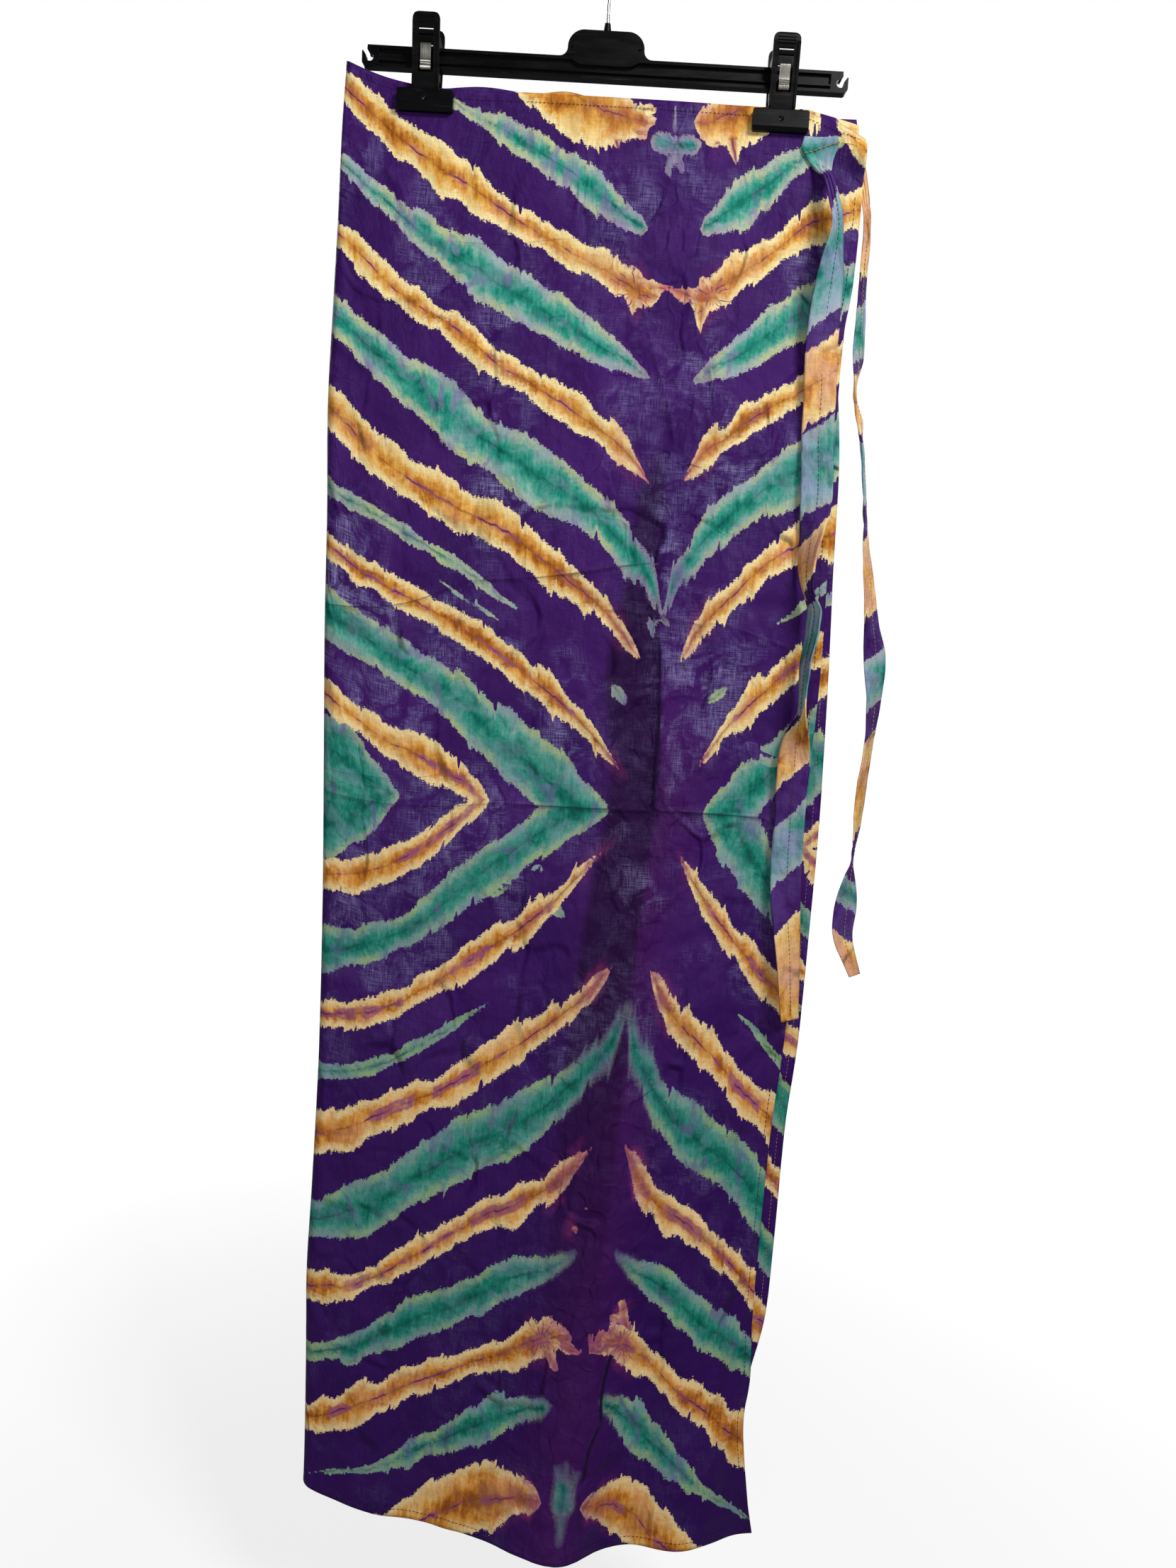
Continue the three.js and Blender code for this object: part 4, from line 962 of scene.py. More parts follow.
def ground_colour(cloth, out, below, flank_shade):
    """Violet in broad shades; plum down the spine; painted shade darkens it low down and down the pleat's shaded side.
    """
    ground = cloth.grain(0.012, 3, 0.55).ramp([(0.3, "#2e0c50"), (0.5, "#361058"), (0.7, "#3f1763")])
    ground = blend(out.spread(60, 5) * below.spread(330, 560) * 0.8, ground, "#3e0c4e")
    # painted shade: the ground is painted darker low down and away from the spine, where less light falls
    ground = blend(below.spread(520, 900) * out.spread(8, 45, 0.25, 0.65), ground, "#220145")
    # painted shade down the side of the centre pleat that turns from the light
    return blend(flank_shade * 0.88, ground, "#200232")


def sheen_patches(cloth, sheen_share, chance):
    """Ragged patches of painted sheen that also make the cloth glossier; some cells brighter than others, 0 to about 1.
    """
    patch = cloth.grain(0.042, 5, 0.7, 0.7).spread(0.43, 0.58) * (chance.spread(0.25, 0.95) * 1.1 + 0.15)
    return patch * sheen_share * cloth.grain(0.009, 2).spread(0.4, 0.58)


def run_out_dye(cloth, out, below, depth):
    """Magenta where orange dye ran past the end of a band, near the spine."""
    near = depth.spread(-8, 0) * out.spread(56, 26) * out.spread(19, 27)
    return near * cloth.grain(0.035, 2).spread(0.44, 0.56) * below.spread(480, 700, 0.45, 0.85)


def all_rays(cloth, out, below):
    """The rays of every knot, drawn with the same three noises."""
    noises = {"Bend": cloth.grain(0.09, 2), "Fray": cloth.grain(0.2, 1), "Chance": cloth.grain(0.13, 1)}
    total = 0.0
    for place, radius, count in KNOTS_TIED:
        values = {"Out": out, "Below": below, "Knot": place, "Radius": radius, "Count": count, **noises}
        total = node(cloth.tree, "ShaderNodeGroup", values, node_tree=RAYS)["Mask"].math("MAXIMUM", total)
    return total


def cloth_height(cloth, out, fold, strength, large, small):
    """Height in mm of wrinkles, crumpled cells and creases."""
    wrinkle = cloth.stretch(1, 0.6, 1).grain(0.05, 5, 0.6, 0.5)
    some = cloth.grain(0.02, 2).spread(0.36, 0.6)
    crushed = out.spread(75, 20, 0.3, 1.0)
    ridge = abs(fold).spread(3.0, 0.0, smooth=True)
    return wrinkle * 3.4 + large * some * 0.32 + small * crushed * 0.2 + ridge * strength * 0.8


print("dyes", list(DYES), "and", len(KNOTS_TIED), "knots")

# %% Dyed cotton
def dyed_cotton(name, specular, washed=0.0):
    """Cloth with its dye; washed is how far a tie has faded and lost its rays."""
    material, tree, feed = new_material(name)
    cloth = node(tree, "ShaderNodeUVMap", uv_map="cloth")[0].stretch(1000.0, 1000.0, 1.0)
    fields = {key: node(tree, "ShaderNodeAttribute", attribute_name=key)["Vector"]
              for key in ("orange", "teal", "place", "crease")}
    out, below, sheen_share = fields["place"].split()
    fold, strength, flank_shade = fields["crease"].split()
    threads = node(tree, "ShaderNodeGroup", {"Cloth": cloth}, node_tree=WEAVE)
    large, small = (node(tree, "ShaderNodeGroup", {"Cloth": cloth, "Cells": cells}, node_tree=CRUMPLE)
                    for cells in (0.03, 0.085))
    edges = {dye: node(tree, "ShaderNodeGroup", {"Band": fields[dye], "Cloth": cloth, **look["edge"]}, node_tree=RAGGED)
             for dye, look in DYES.items()}

    ground = ground_colour(cloth, out, below, flank_shade)
    sheen_patch = sheen_patches(cloth, sheen_share, large["Chance"])
    # painted sheen: lighter bluish patches in the ground's colour stand for light glancing off the cloth
    ground = blend(sheen_patch * threads["Slub"].spread(0.42, 0.58) * 1.65, ground, "#7a74a4")
    ground = blend(run_out_dye(cloth, out, below, edges["orange"]["Depth"]), ground, "#76265f")

    deep = below.spread(200, 700)
    faded = cloth.grain(0.03, 3, 0.6).spread(0.4, 0.6) * washed if washed else None
    rayed = None if washed else all_rays(cloth, out, below)
    bands = {}
    for dye, look in DYES.items():
        values = {"Cloth": cloth, "Out": out, "Low": deep, **{title: edges[dye][title] for title in BAND_PLACE}}
        colour = node(tree, "ShaderNodeGroup", values, node_tree=look["group"])
        # painted shade: each band is multiplied darker low down
        colour = blend(deep, colour["Colour"], look["low"], "MULTIPLY")
        share, tint = (faded, look["washed"]) if washed else (rayed * look["ray_share"], look["ray"])
        bands[dye] = blend(share, colour, tint)
    if washed:
        ground = blend(faded * 0.5, ground, "#5d3f86")

    blurred = edges["teal"]["Depth"].spread(-2.5, 2.5) * 0.85
    teal_mask = blend(out.spread(52, 22) * below.spread(560, 620), edges["teal"]["Mask"], blurred)
    colour = blend(teal_mask, ground, bands["teal"])
    colour = blend(edges["orange"]["Mask"], colour, bands["orange"])
    # painted shade: a dark line along each sharp crease stands for the shade in its fold
    crease_shade_line = abs(fold) / strength.math("MAXIMUM", 0.6)
    colour = blend(crease_shade_line.spread(1.1, 0.3) * strength * 0.6, colour, "#15072a")
    colour = blend(1.0, colour, threads["Slub"].spread(0.3, 0.7, 0.8, 1.2), "MULTIPLY")

    height_mm = cloth_height(cloth, out, fold, strength, large["Height"], small["Height"])
    normal = threads["Height"].bump(0.00012, 0.5, Normal=height_mm.bump(MM))
    feed({"Base Color": colour, "Roughness": sheen_patch.spread(0.0, 0.6, 0.62, 0.42), "Normal": normal,
          "Specular IOR Level": specular, "Sheen Weight": 0.02, "Sheen Roughness": 0.45, "Sheen Tint": "#b7b2e0"})
    return material


COTTON = dyed_cotton("dyed_cotton", 0.1)
for layer, piece in panels.items():
    piece.data.materials.append(COTTON)
    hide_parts(f"{layer}_panel")
    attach(piece, "root")
print("cotton on", len(panels), "panels")

# %% [markdown]
# Each tie is a strip folded in half along its length and stitched down the middle, then sewn to
# a corner of the waist. It hangs and twists, so its table gives the turn of the strip at each
# height. Where it is gathered narrow, the cloth buckles into lengthwise folds.

# %% Tables of the ties
FRONT_TIE = {
    "z": [-147.5, -156, -165, -179, -196, -215, -245, -275, -305, -340, -368, -410, -440, -468, -484, -499,
          -541, -576, -598, -619, -659, -714, -769, -821],
    "x": [163.5, 163, 165, 170, 175, 178, 176.5, 174.5, 174, 175.5, 176, 178.5, 176.5, 174.5, 177, 183,
          179, 178.5, 177, 176.5, 177, 178, 184, 189],
    "y": [0, 0, 0, -14, -18, -21, -21, -19, -18, -18, -18, -19, -23, -25, -26, -26,
          -26, -25, -22, -20, -19, -19, -20, -21],
    "turn": [0, 0, 0, 10, 30, 55, 35, 14, 0, -8, -18, -10, -48, -68, -78, -70,
             -80, -84, -42, -12, -22, 0, 28, 40],
    "width": [24, 26, 18, 9, 11, 18, 24, 24, 24, 24, 24, 24, 22, 22, 20, 20,
              22, 22, 24, 24, 24, 24, 23, 21],
}
BACK_TIE = {
    "z": [-132, -141, -156, -178, -205, -248, -280, -304, -330, -347, -368, -388, -422, -451, -476, -506,
          -528, -563, -602, -636, -669, -688, -706, -731, -757, -788],
    "x": [184, 185, 190, 200, 205, 205, 206, 206.5, 206.5, 211, 215, 218, 222, 226, 230, 234,
          238, 240.5, 239.5, 237, 236, 234.5, 233, 232, 232, 244],
    "y": [0, 0, 0, 4, 5, 5, 5, 5, 5, 5, 5, 5, 5, 5, 5, 5, 5, 5, 5, 5, 5, 5, 5, 5, 5, 4],
    "turn": [0, 0, 0, 20, 50, 55, 48, 52, 80, 60, 80, 74, 82, 62, 50, 38,
             20, 45, 60, 58, 66, 82, 60, 30, 36, 50],
    "width": [12, 14, 13, 8, 8, 11, 14, 16, 16, 17, 16, 16, 16, 16, 16, 18,
              20, 21, 21, 21, 20, 20, 22, 23, 22, 18],
}
TIE_WALL, SEWN_GAP, SEWN_ROWS = 1.4, 0.65, 3  # the solid's wall, its gap to the panel, and the rows sewn to it
# Dye along each tie: which dye, from and to in z, and how far it leans across the strip.
FRONT_TIE_DYE = [("teal", -140, -172, 0.3), ("teal", -197, -281, 0.8), ("orange", -298, -354, 0.6),
                 ("teal", -359, -421, 0.5), ("orange", -440, -478, 0.8), ("teal", -492, -577, 0.2),
                 ("orange", -580, -624, 1.0), ("teal", -656, -704, 0.9), ("orange", -742, -840, 0.8)]
BACK_TIE_DYE = [("orange", -165, -242, 0.2), ("teal", -263, -303, 0.3), ("orange", -314, -357, 0.2),
                ("teal", -363, -409, 0.3), ("orange", -434, -496, 0.5), ("teal", -528, -567, 0.5),
                ("orange", -592, -668, 0.4), ("teal", -709, -731, -0.5), ("orange", -757, -800, -0.7)]


def tie_points(table, layer, side, z, across):
    """A strip's points: x and y turned about its middle line, following the panel where it is sewn."""
    x, y, turn, width = (along(table, name, z, key="z") for name in ("x", "y", "turn", "width"))
    angle = np.radians(turn)
    px = x + across * width * np.cos(angle)
    free = y + across * width * np.sin(angle)
    below = np.maximum(height(px, 0) - z, 0)
    roll = corner_roll(px, below) if layer == "front_wrap" else 0
    on_panel = layer_y(layer, px, below) - roll + side * (WALL / 2 + TIE_WALL / 2 + SEWN_GAP)
    leave = ease(-table["z"][SEWN_ROWS - 1], -table["z"][SEWN_ROWS], -z)
    return np.stack(np.broadcast_arrays(px, on_panel + (free - on_panel) * leave, z), -1)


print("ties", len(FRONT_TIE["z"]), "and", len(BACK_TIE["z"]), "rows")

# %% Build the ties
TIE_GRID, TIE_THICK = (420, 15), 1.1
BUCKLE, BUCKLE_TURN = 2.6, 19  # mm that a gathered tie buckles, and how much of a sine lies across it
TIE_WAVES = (0.45, 0.6, 40, 9)  # height in mm, stretch down the tie, longest and shortest wave
FOLDED_EDGE, EDGE_AT, EDGE_HALF = 0.28, 0.44, 0.05  # the raised line beside each long edge
TIE_PLACE = (120.0, 0.6, 0.25)  # its dye looks as it does far out from the spine, at a share of its z, with a little painted sheen
TIE_RUN = 90  # where along a band's noise a tie's dye begins


def build_tie(name, table, dyes, layer, side, full_width, shift):
    """A tie as a grid of cloth: it buckles lengthwise where it is gathered, and its long edges are folded."""
    z = np.linspace(table["z"][0], table["z"][-1], TIE_GRID[0])[:, None]
    across = np.linspace(-0.5, 0.5, TIE_GRID[1])[None, :]
    points = tie_points(table, layer, side, z, across)
    width, turn = (along(table, column, z, key="z") for column in ("width", "turn"))
    angle = np.radians(turn)
    spare = np.clip(1 - width / full_width, 0, 0.7)
    buckle = BUCKLE * spare * np.sin(across * BUCKLE_TURN + 0.02 * z)
    size, stretch, *lengths = TIE_WAVES
    buckle = buckle + size * waves(across * full_width, z * stretch, shift, *lengths)
    buckle = buckle + FOLDED_EDGE * np.exp(-np.abs(np.abs(across) - EDGE_AT) / EDGE_HALF)
    free = ease(-table["z"][0] + 4, -table["z"][SEWN_ROWS], -z)
    points[..., 0] -= np.sin(angle) * buckle * free
    points[..., 1] -= np.cos(angle) * buckle * free
    dye_x, dye_z = np.broadcast_arrays(across * full_width, z)
    fields = no_dye(dye_x.shape, 0 * dye_x)
    for dye, top, bottom, lean in dyes:
        across_band = dye_z - (top + bottom) / 2 - lean * dye_x
        lay_dye(fields[dye], (top - bottom) / 2 - np.abs(across_band), across_band, TIE_RUN + dye_x)
    out, share, sheen_share = TIE_PLACE
    fields["place"] = np.stack(np.broadcast_arrays(out, np.abs(dye_z) * share, sheen_share), -1)
    fields["crease"] = np.stack(np.broadcast_arrays(NO_CREASE, 0 * dye_x, 0.0), -1)
    return cloth_sheet(name, points, np.stack([dye_x + shift, dye_z], -1), fields, TIE_THICK)


TIE_COTTON = dyed_cotton("tie_cotton", 0.09, washed=0.8)
ties = {
    "front_tie": build_tie("front_tie_cloth", FRONT_TIE, FRONT_TIE_DYE, "front_wrap", -1, 26.0, 900),
    "back_tie": build_tie("back_tie_cloth", BACK_TIE, BACK_TIE_DYE, "under_wrap", 1, 23.0, 1300),
}
for name, piece in ties.items():
    piece.data.materials.append(TIE_COTTON)
    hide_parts(name)
    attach(piece, "root")
print({name: len(piece.data.polygons) for name, piece in ties.items()})

# %% [markdown]
# Stitches are small raised grains of thread. Each is the same little lozenge of sixteen faces,
# set along a line of points on the cloth. They are made together as one mesh a colour of thread.

# %% Stitches
GRAIN = np.array([  # corners of one stitch: shares of its length ahead, its width aside and its height up
    [-0.5, 0, -0.2], [-0.3, 0.5, 0], [-0.3, 0, 1], [-0.3, -0.5, 0], [-0.3, 0, -0.6],
    [0.3, 0.5, 0], [0.3, 0, 1], [0.3, -0.5, 0], [0.3, 0, -0.6], [0.5, 0, -0.2],
])
GRAIN_FACES = np.array([
    face for a, b in ((1, 2), (2, 3), (3, 4), (4, 1))
    for face in ([0, b, a], [a, b, b + 4], [a, b + 4, a + 4], [9, a + 4, b + 4])
])


def stitch_line(points, outward, length=2.6, width=0.42, tall=0.3, gap=0.9):
    """Lozenges along a polyline of points (n, 3), length + gap apart; outward is one direction or one a point."""
    far = np.r_[0, np.cumsum(np.linalg.norm(np.diff(points, axis=0), axis=1))]
    middles = np.arange(length, far[-1] - length, length + gap)
    at, ahead = (np.stack([np.interp(middles + step, far, points[:, k]) for k in range(3)], -1) for step in (0, 1))
    ahead = ahead - at
    ahead /= np.linalg.norm(ahead, axis=1, keepdims=True)
    out = np.asarray(outward, float)
    if out.ndim == 2:
        out = out[np.linspace(0, len(out) - 1, len(at)).round().astype(int)]
    out = out - (out * ahead).sum(1, keepdims=True) * ahead
    out /= np.linalg.norm(out, axis=1, keepdims=True)
    side = np.cross(ahead, out)
    corners = (at[:, None] + GRAIN[None, :, :1] * length * ahead[:, None]
               + GRAIN[None, :, 1:2] * width * side[:, None] + GRAIN[None, :, 2:] * tall * out[:, None])
    faces = GRAIN_FACES[None] + len(GRAIN) * np.arange(len(at))[:, None, None]
    return corners.reshape(-1, 3), faces.reshape(-1, 3)


def thread_material(name, colour):
    """Thread whose twist shows in its colour and height."""
    material, tree, feed = new_material(name)
    place = node(tree, "ShaderNodeTexCoord")["Object"]
    twist = node(tree, "ShaderNodeTexWave", {"Vector": place, "Scale": 900.0, "Distortion": 1.0})[0]
    feed({"Base Color": blend(twist.spread(0, 1, 0.0, 0.5), colour, "#1b1020"), "Roughness": 0.6,
          "Normal": twist.bump(0.0001)})
    return material


def edit_mesh(mesh, *steps):
    """Opens a mesh for bmesh steps, and puts the result back in it."""
    work = bmesh.new()
    work.from_mesh(mesh)
    for step in steps:
        step(work)
    work.to_mesh(mesh)
    work.free()


def face_outward(work):
    bmesh.ops.recalc_face_normals(work, faces=work.faces)


def thread_piece(name, lines, colour):
    """Joins several stitch lines in one mesh."""
    starts = np.cumsum([0] + [len(corners) for corners, _ in lines])
    faces = np.concatenate([triangles + start for (_, triangles), start in zip(lines, starts)])
    mesh = mesh_from(name, np.concatenate([corners for corners, _ in lines]), faces)
    edit_mesh(mesh, face_outward)
    piece = add_object(name, mesh, thread_material(name + "_thread", colour))
    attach(piece, "root")
    return piece


print("a stitch has", len(GRAIN_FACES), "faces")

# %% Hem stitches
def hem_line(layer, from_edge, low, high, lift):
    """A line on a panel that runs down beside its free edge."""
    below = np.linspace(low, high, 400)
    points, _ = cloth_points(layer, reach(layer, below) - from_edge, below)
    points[:, 1] += lift
    return points


def cross_line(layer, below, lift):
    """A line on a panel at one distance below the waist, from 2 mm past the fold to 2 mm short of the edge."""
    run = np.linspace(2.0, float(reach(layer, np.array([below]))[0]) - 2.0, 300)
    points, _ = cloth_points(layer, run, np.full(300, below))
    points[:, 1] += lift
    return points


FRONT, BACK = (0, -1, 0), (0, 1, 0)
dark = [stitch_line(hem_line("front_wrap", 5.2, 46, 1136, -1.0), FRONT, length=3.0, width=0.6, gap=0.7),
        stitch_line(cross_line("front_wrap", LENGTH - 7, -0.85), FRONT),
        stitch_line(cross_line("outer_back", LENGTH - 7, 0.85), BACK),
        stitch_line(cross_line("outer_back", 6.5, 0.95), BACK),
        stitch_line(cross_line("front_wrap", 6.5, -0.95), FRONT, length=2.2)]
yellow = [stitch_line(hem_line("under_wrap", 5.6, 30, 1136, -0.8), FRONT, length=2.4)]
dark_stitches = thread_piece("dark_hem_stitches", dark, "#2a1330")
yellow_stitches = thread_piece("yellow_hem_stitches", yellow, "#c9a83c")
print("stitches", *(len(piece.data.polygons) // len(GRAIN_FACES) for piece in (dark_stitches, yellow_stitches)))

# %% Stitches on the ties
ROOT_STITCH = np.array([[150.5, -160], [157, -158.6], [165, -155.6], [172, -153.2],  # x and z on the front corner
                        [177, -152.6], [186, -155], [194, -158.5]])


def tie_line(table, layer, side, across, low, high, lift):
    """A line down a tie at one place across it, and the direction out of the tie at each point."""
    z = np.linspace(low, high, 500)
    points = tie_points(table, layer, side, z, across)
    angle = np.radians(along(table, "turn", z, key="z"))
    outward = np.stack([np.sin(angle), -np.cos(angle), 0 * z], -1)
    return points + outward * lift, outward


def on_corner(xz, lift):
    """Places (x, z) points on the rolled corner of the front wrap."""
    t = np.linspace(0, len(xz) - 1, 60)
    x, z = (np.interp(t, np.arange(len(xz)), xz[:, k]) for k in (0, 1))
    below = np.maximum(height(x, 0) - z, 0)
    return np.stack([x, layer_y("front_wrap", x, below) - corner_roll(x, below) + lift, z], -1)


front_seam = tie_line(FRONT_TIE, "front_wrap", -1, 0.04, -166, -818, 0.9)
back_seam = tie_line(BACK_TIE, "under_wrap", 1, 0.05, -182, -786, 0.9)
root = stitch_line(on_corner(ROOT_STITCH, -3.2), FRONT, length=3.0, width=0.7, tall=0.5, gap=0.5)
tie_dark = thread_piece("front_tie_stitches", [stitch_line(*front_seam)], "#3a2340")
tie_yellow = thread_piece("back_tie_stitches", [stitch_line(*back_seam, length=2.4), root], "#d9b92f")
print("tie stitches", *(len(piece.data.polygons) // len(GRAIN_FACES) for piece in (tie_dark, tie_yellow)))

# %% [markdown]
# The layers are parts of one length of cotton, so each one's flat size is its own share of that length.
# The line below counts the sheets of cloth.

print("sheets declared:", len(panels) + len(ties))

# %% [markdown]
# The hanger and its clips are moulded polystyrene. Their solids are right, but real mouldings
# have small rounded edges, and those edges are what catch the light on black plastic. Each one
# is a copy of its node, merged into one closed mesh, with a fine bevel.

# %% Black plastic
MERGE, FLAT = 2e-6, 1.5  # metres apart that corners are one, and degrees that faces are one
BEVEL, BEVEL_ANGLE, SHARP_ANGLE = 0.28, 38, 50  # mm, and degrees
SWEEP_SHARP = 40  # the same as SHARP_ANGLE, for swept steel


def plastic_material():
    """Nearly black moulding: faint flow lines and specks, and scuffs along its length."""
    material, tree, feed = new_material("black_plastic")
    place = node(tree, "ShaderNodeTexCoord")["Object"]
    flow = place.stretch(30.0, 60.0, 140.0).grain(1.0, 4, 0.6)
    scuff = place.stretch(40.0, 300.0, 700.0).grain(1.0, 3, 0.7).spread(0.6, 0.72)
    skin = place.grain(900.0, 2, 0.6) * 0.25 + flow
    feed({"Base Color": blend(scuff * 0.25, blend(flow, "#020203", "#060709"), "#26282c"),
          "Roughness": flow.spread(0.3, 0.7, 0.26, 0.4) + scuff * 0.2,
          "Specular IOR Level": 0.15, "Normal": skin.bump(0.0002, 0.35)})
    return material


def join_flat_faces(work):
    bmesh.ops.remove_doubles(work, verts=work.verts, dist=MERGE)
    bmesh.ops.dissolve_limit(work, angle_limit=math.radians(FLAT), verts=work.verts, edges=work.edges)


def smooth_but_sharp(mesh, degrees):
    """Smooth shading, except over edges that turn by more than the angle."""
    mesh.polygons.foreach_set("use_smooth", np.ones(len(mesh.polygons), bool))
    mesh.set_sharp_from_angle(angle=math.radians(degrees))


def moulded(node_name, name):
    """A merged copy of a CAD node with its flat faces joined and a small bevel on sharp edges."""
    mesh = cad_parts[node_name].data.copy()
    edit_mesh(mesh, join_flat_faces)
    mesh.materials.clear()
    mesh.name = name
    piece = add_object(name, mesh, PLASTIC)
    bevel = piece.modifiers.new("rounded_edges", "BEVEL")
    bevel.width, bevel.segments, bevel.limit_method = BEVEL * MM, 2, "ANGLE"
    bevel.angle_limit, bevel.use_clamp_overlap = math.radians(BEVEL_ANGLE), True
    piece.modifiers.new("even_shading", "WEIGHTED_NORMAL").keep_sharp = True
    smooth_but_sharp(mesh, SHARP_ANGLE)
    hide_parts(node_name)
    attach(piece, "root")
    return piece


PLASTIC = plastic_material()
mouldings = [moulded("hanger_bar", "hanger_bar_moulding")]
for side in ("left", "right"):
    for jaw in ("front", "back"):
        mouldings.append(moulded(f"clip_{side}_{jaw}_jaw", f"clip_{side}_{jaw}_moulding"))
print("mouldings", [piece.name for piece in mouldings])

# %% [markdown]
# The hook is drawn wire and each clip's spring is a bent steel strip. Both are a section carried
# along a path: at each point of the path the section is set across it, and the ends are closed.

# %% Swept steel
def smooth_path(points, count):
    """Even points on a cubic Hermite curve through the given ones."""
    points = np.asarray(points, float)
    table = {"below": np.r_[0, np.cumsum(np.linalg.norm(np.diff(points, axis=0), axis=1))],
             **{k: points[:, k] for k in range(3)}}
    at = np.linspace(0, table["below"][-1], count)
    return np.stack([along(table, k, at) for k in range(3)], -1)


def close_ends(work):
    bmesh.ops.holes_fill(work, edges=[edge for edge in work.edges if edge.is_boundary])


def sweep(name, path, wide, section, material):
    """Tube whose section (m, 2) is measured along the fixed direction `wide` and across the path."""
    tangent = np.gradient(path, axis=0)
    tangent /= np.linalg.norm(tangent, axis=1, keepdims=True)
    wide = np.broadcast_to(np.asarray(wide, float), path.shape)
    deep = np.cross(tangent, wide)
    rings = path[:, None] + section[None, :, :1] * wide[:, None] + section[None, :, 1:] * deep[:, None]
    number = np.arange(rings.shape[0] * rings.shape[1]).reshape(rings.shape[:2])
    nexts = np.roll(number, -1, axis=1)
    quads = np.stack([number[:-1], nexts[:-1], nexts[1:], number[1:]], -1).reshape(-1, 4)
    mesh = mesh_from(name, rings.reshape(-1, 3), quads)
    edit_mesh(mesh, close_ends, face_outward)
    smooth_but_sharp(mesh, SWEEP_SHARP)
    return add_object(name, mesh, material)


def steel(name, tint, roughness):
    """Drawn steel: fine streaks make it rougher and smoother by turns."""
    material, tree, feed = new_material(name)
    place = node(tree, "ShaderNodeTexCoord")["Object"]
    streaks = place.stretch(1500.0, 300.0, 90.0).grain(1.0, 3, 0.6)
    feed({"Base Color": blend(place.grain(120.0, 3, 0.6), tint, "#8d8a84"), "Metallic": 1.0,
          "Roughness": streaks.spread(0.3, 0.7, roughness - 0.08, roughness + 0.08),
          "Normal": streaks.bump(0.00005, 0.4)})
    return material


print("a smooth path of 3 points:", smooth_path([(0, 0, 0), (0, 0, 10)], 3).tolist())

# %% Hook
HOOK_RADIUS, HOOK_MIDDLE, WIRE_RADIUS = 21.2, -20.0, 1.2
HOOK_STEM = [(0, -87.7), (0, -74), (0, -60), (0.6, -52), (4.4, -44.6)]  # x and z up to where the bend begins
bend = np.radians(np.arange(-45, 201, 17.5))
hook_points = [(x, 0, z) for x, z in HOOK_STEM]
hook_points += [(HOOK_RADIUS * math.cos(a), 0, HOOK_RADIUS * math.sin(a) + HOOK_MIDDLE) for a in bend]
ring = np.linspace(0, 2 * np.pi, 20, endpoint=False)
hook = sweep("hook_wire_steel", smooth_path(hook_points, 150), (0, 1, 0),
             WIRE_RADIUS * np.stack([np.cos(ring), np.sin(ring)], -1), steel("hook_steel", "#d9d9d6", 0.2))
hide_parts("hook_wire")
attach(hook, "root")
print("hook", len(hook.data.polygons), "faces")

# %% Clip springs
ARM = [(-12.1, -101), (-12.7, -102), (-11.2, -111.8), (-12.2, -113.2), (-11.0, -114.8), (-11.9, -116.4),
       (-10.6, -118.4), (-7.2, -118.5), (-3.0, -121.6)]  # y and z down the front half of the bent strip
STRIP = np.array([[-3.9, -0.2], [-3.8, -0.3], [3.8, -0.3], [3.9, -0.2],  # its section, with the corners taken off
                  [3.9, 0.2], [3.8, 0.3], [-3.8, 0.3], [-3.9, 0.2]])
SPRING_STEEL = steel("spring_steel", "#c7c4ba", 0.3)
for side, x in (("left", -CLIP_X), ("right", CLIP_X)):
    loop = ARM + [(-y, z) for y, z in reversed(ARM)]
    path = smooth_path([(x, y, z) for y, z in loop], 140)
    spring = sweep(f"clip_{side}_spring_strip", path, (1, 0, 0), STRIP, SPRING_STEEL)
    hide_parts(f"clip_{side}_spring")
    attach(spring, "root")
print("springs made")

# %% [markdown]
# The stage is a round pale floor that fades into a white room, so no horizon line shows from any
# side. The main lamp is large and high at the front right, which rakes the creases and leaves the
# hem darker than the waist. A weak lamp fills the front, and two light the back.

# %% Stage and light
FLOOR_Z, FLOOR_RADIUS, RINGS, SPOKES = -1.42, 9.0, 28, 73  # metres


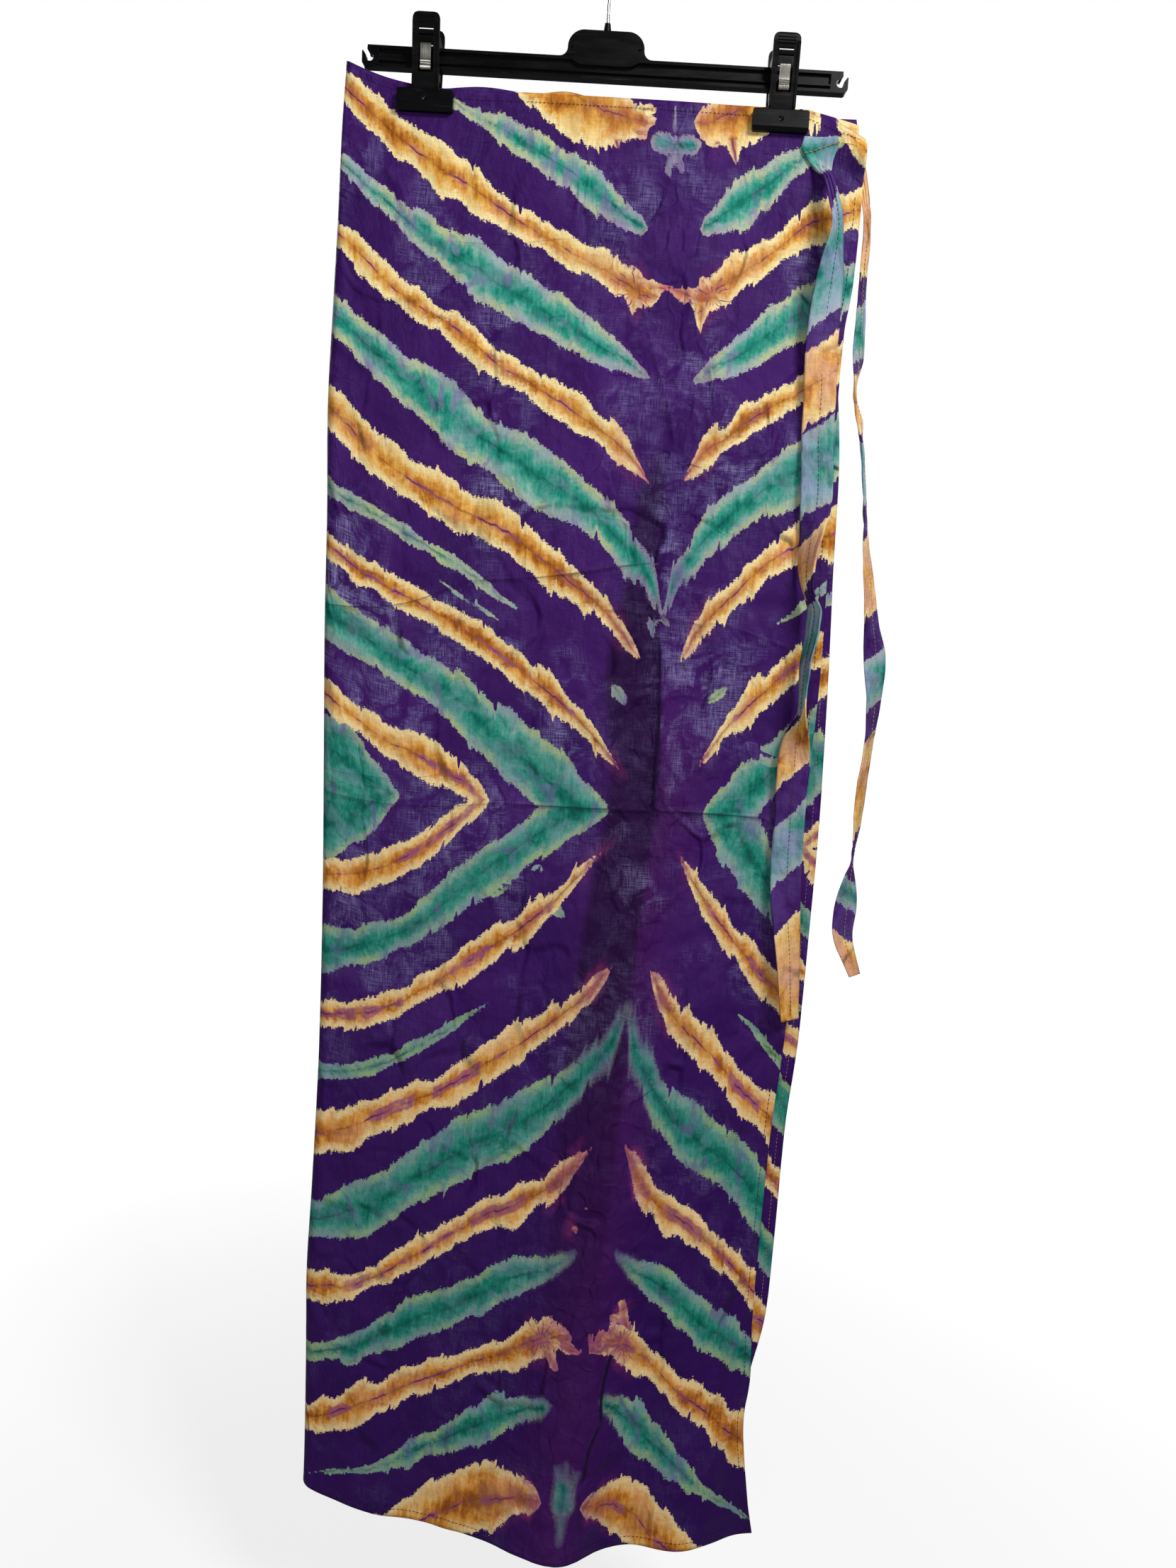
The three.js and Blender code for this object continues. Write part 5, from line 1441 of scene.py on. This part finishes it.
def add_stage():
    """A round floor: radius times (cos, sin) of the turn, at one height. It glows white far out, for the camera."""
    radius = np.linspace(0.0, FLOOR_RADIUS, RINGS)[:, None]
    turn = np.linspace(0, 2 * np.pi, SPOKES)[None, :]
    points = np.stack(np.broadcast_arrays(radius * np.cos(turn), radius * np.sin(turn), FLOOR_Z), -1) / MM
    mesh = mesh_from("pale_floor", points.reshape(-1, 3), grid_faces(RINGS, SPOKES, flip=True))
    material, tree, feed = new_material("pale_paper")
    far = node(tree, "ShaderNodeTexCoord")["Object"].stretch(1, 1, 0).vector("LENGTH")[1]
    seen = node(tree, "ShaderNodeLightPath")["Is Camera Ray"]
    glow = far.spread(0.3, 1.9, 0.66, 1.0, smooth=True) * (seen * 0.95 + 0.05)
    feed({"Base Color": "#8f8f8f", "Roughness": 0.9, "Specular IOR Level": 0.1,
          "Emission Strength": glow, "Emission Color": "#ffffff"})
    stage = add_object("pale_floor", mesh, material)


def add_lamp(name, place, aim, size, power):
    """A square lamp in metres and watts, turned to look at its aim."""
    data = bpy.data.lights.new(name, "AREA")
    data.shape, data.size, data.energy = "SQUARE", size, power
    lamp = bpy.data.objects.new(name, data)
    bpy.context.scene.collection.objects.link(lamp)
    lamp.location = place
    x, y, z = np.array(place) - np.array(aim)
    lamp.rotation_euler = (math.atan2(math.hypot(x, y), z), 0, math.atan2(x, -y))


add_stage()
add_lamp("high_right", (0.8, -1.15, 0.62), (0, 0, -0.4), 0.5, 28)
add_lamp("front", (-0.3, -1.6, -0.75), (0, 0, -0.75), 0.9, 9)
add_lamp("rear_left", (-1.0, 1.2, 0.5), (0, 0, -0.5), 0.7, 24)
add_lamp("rear_right", (1.1, 1.2, 0.0), (0, 0, -0.6), 0.7, 10)
world = bpy.data.worlds.new("pale_room")
world.use_nodes = True
room, sky = world.node_tree, world.node_tree.nodes["Background"].inputs
plug(sky["Strength"], node(room, "ShaderNodeLightPath")["Is Camera Ray"] * 0.88 + 0.12)
plug(sky["Color"], (1, 1, 1, 1))
bpy.context.scene.world = world
bpy.context.scene.view_settings.view_transform = "Standard"
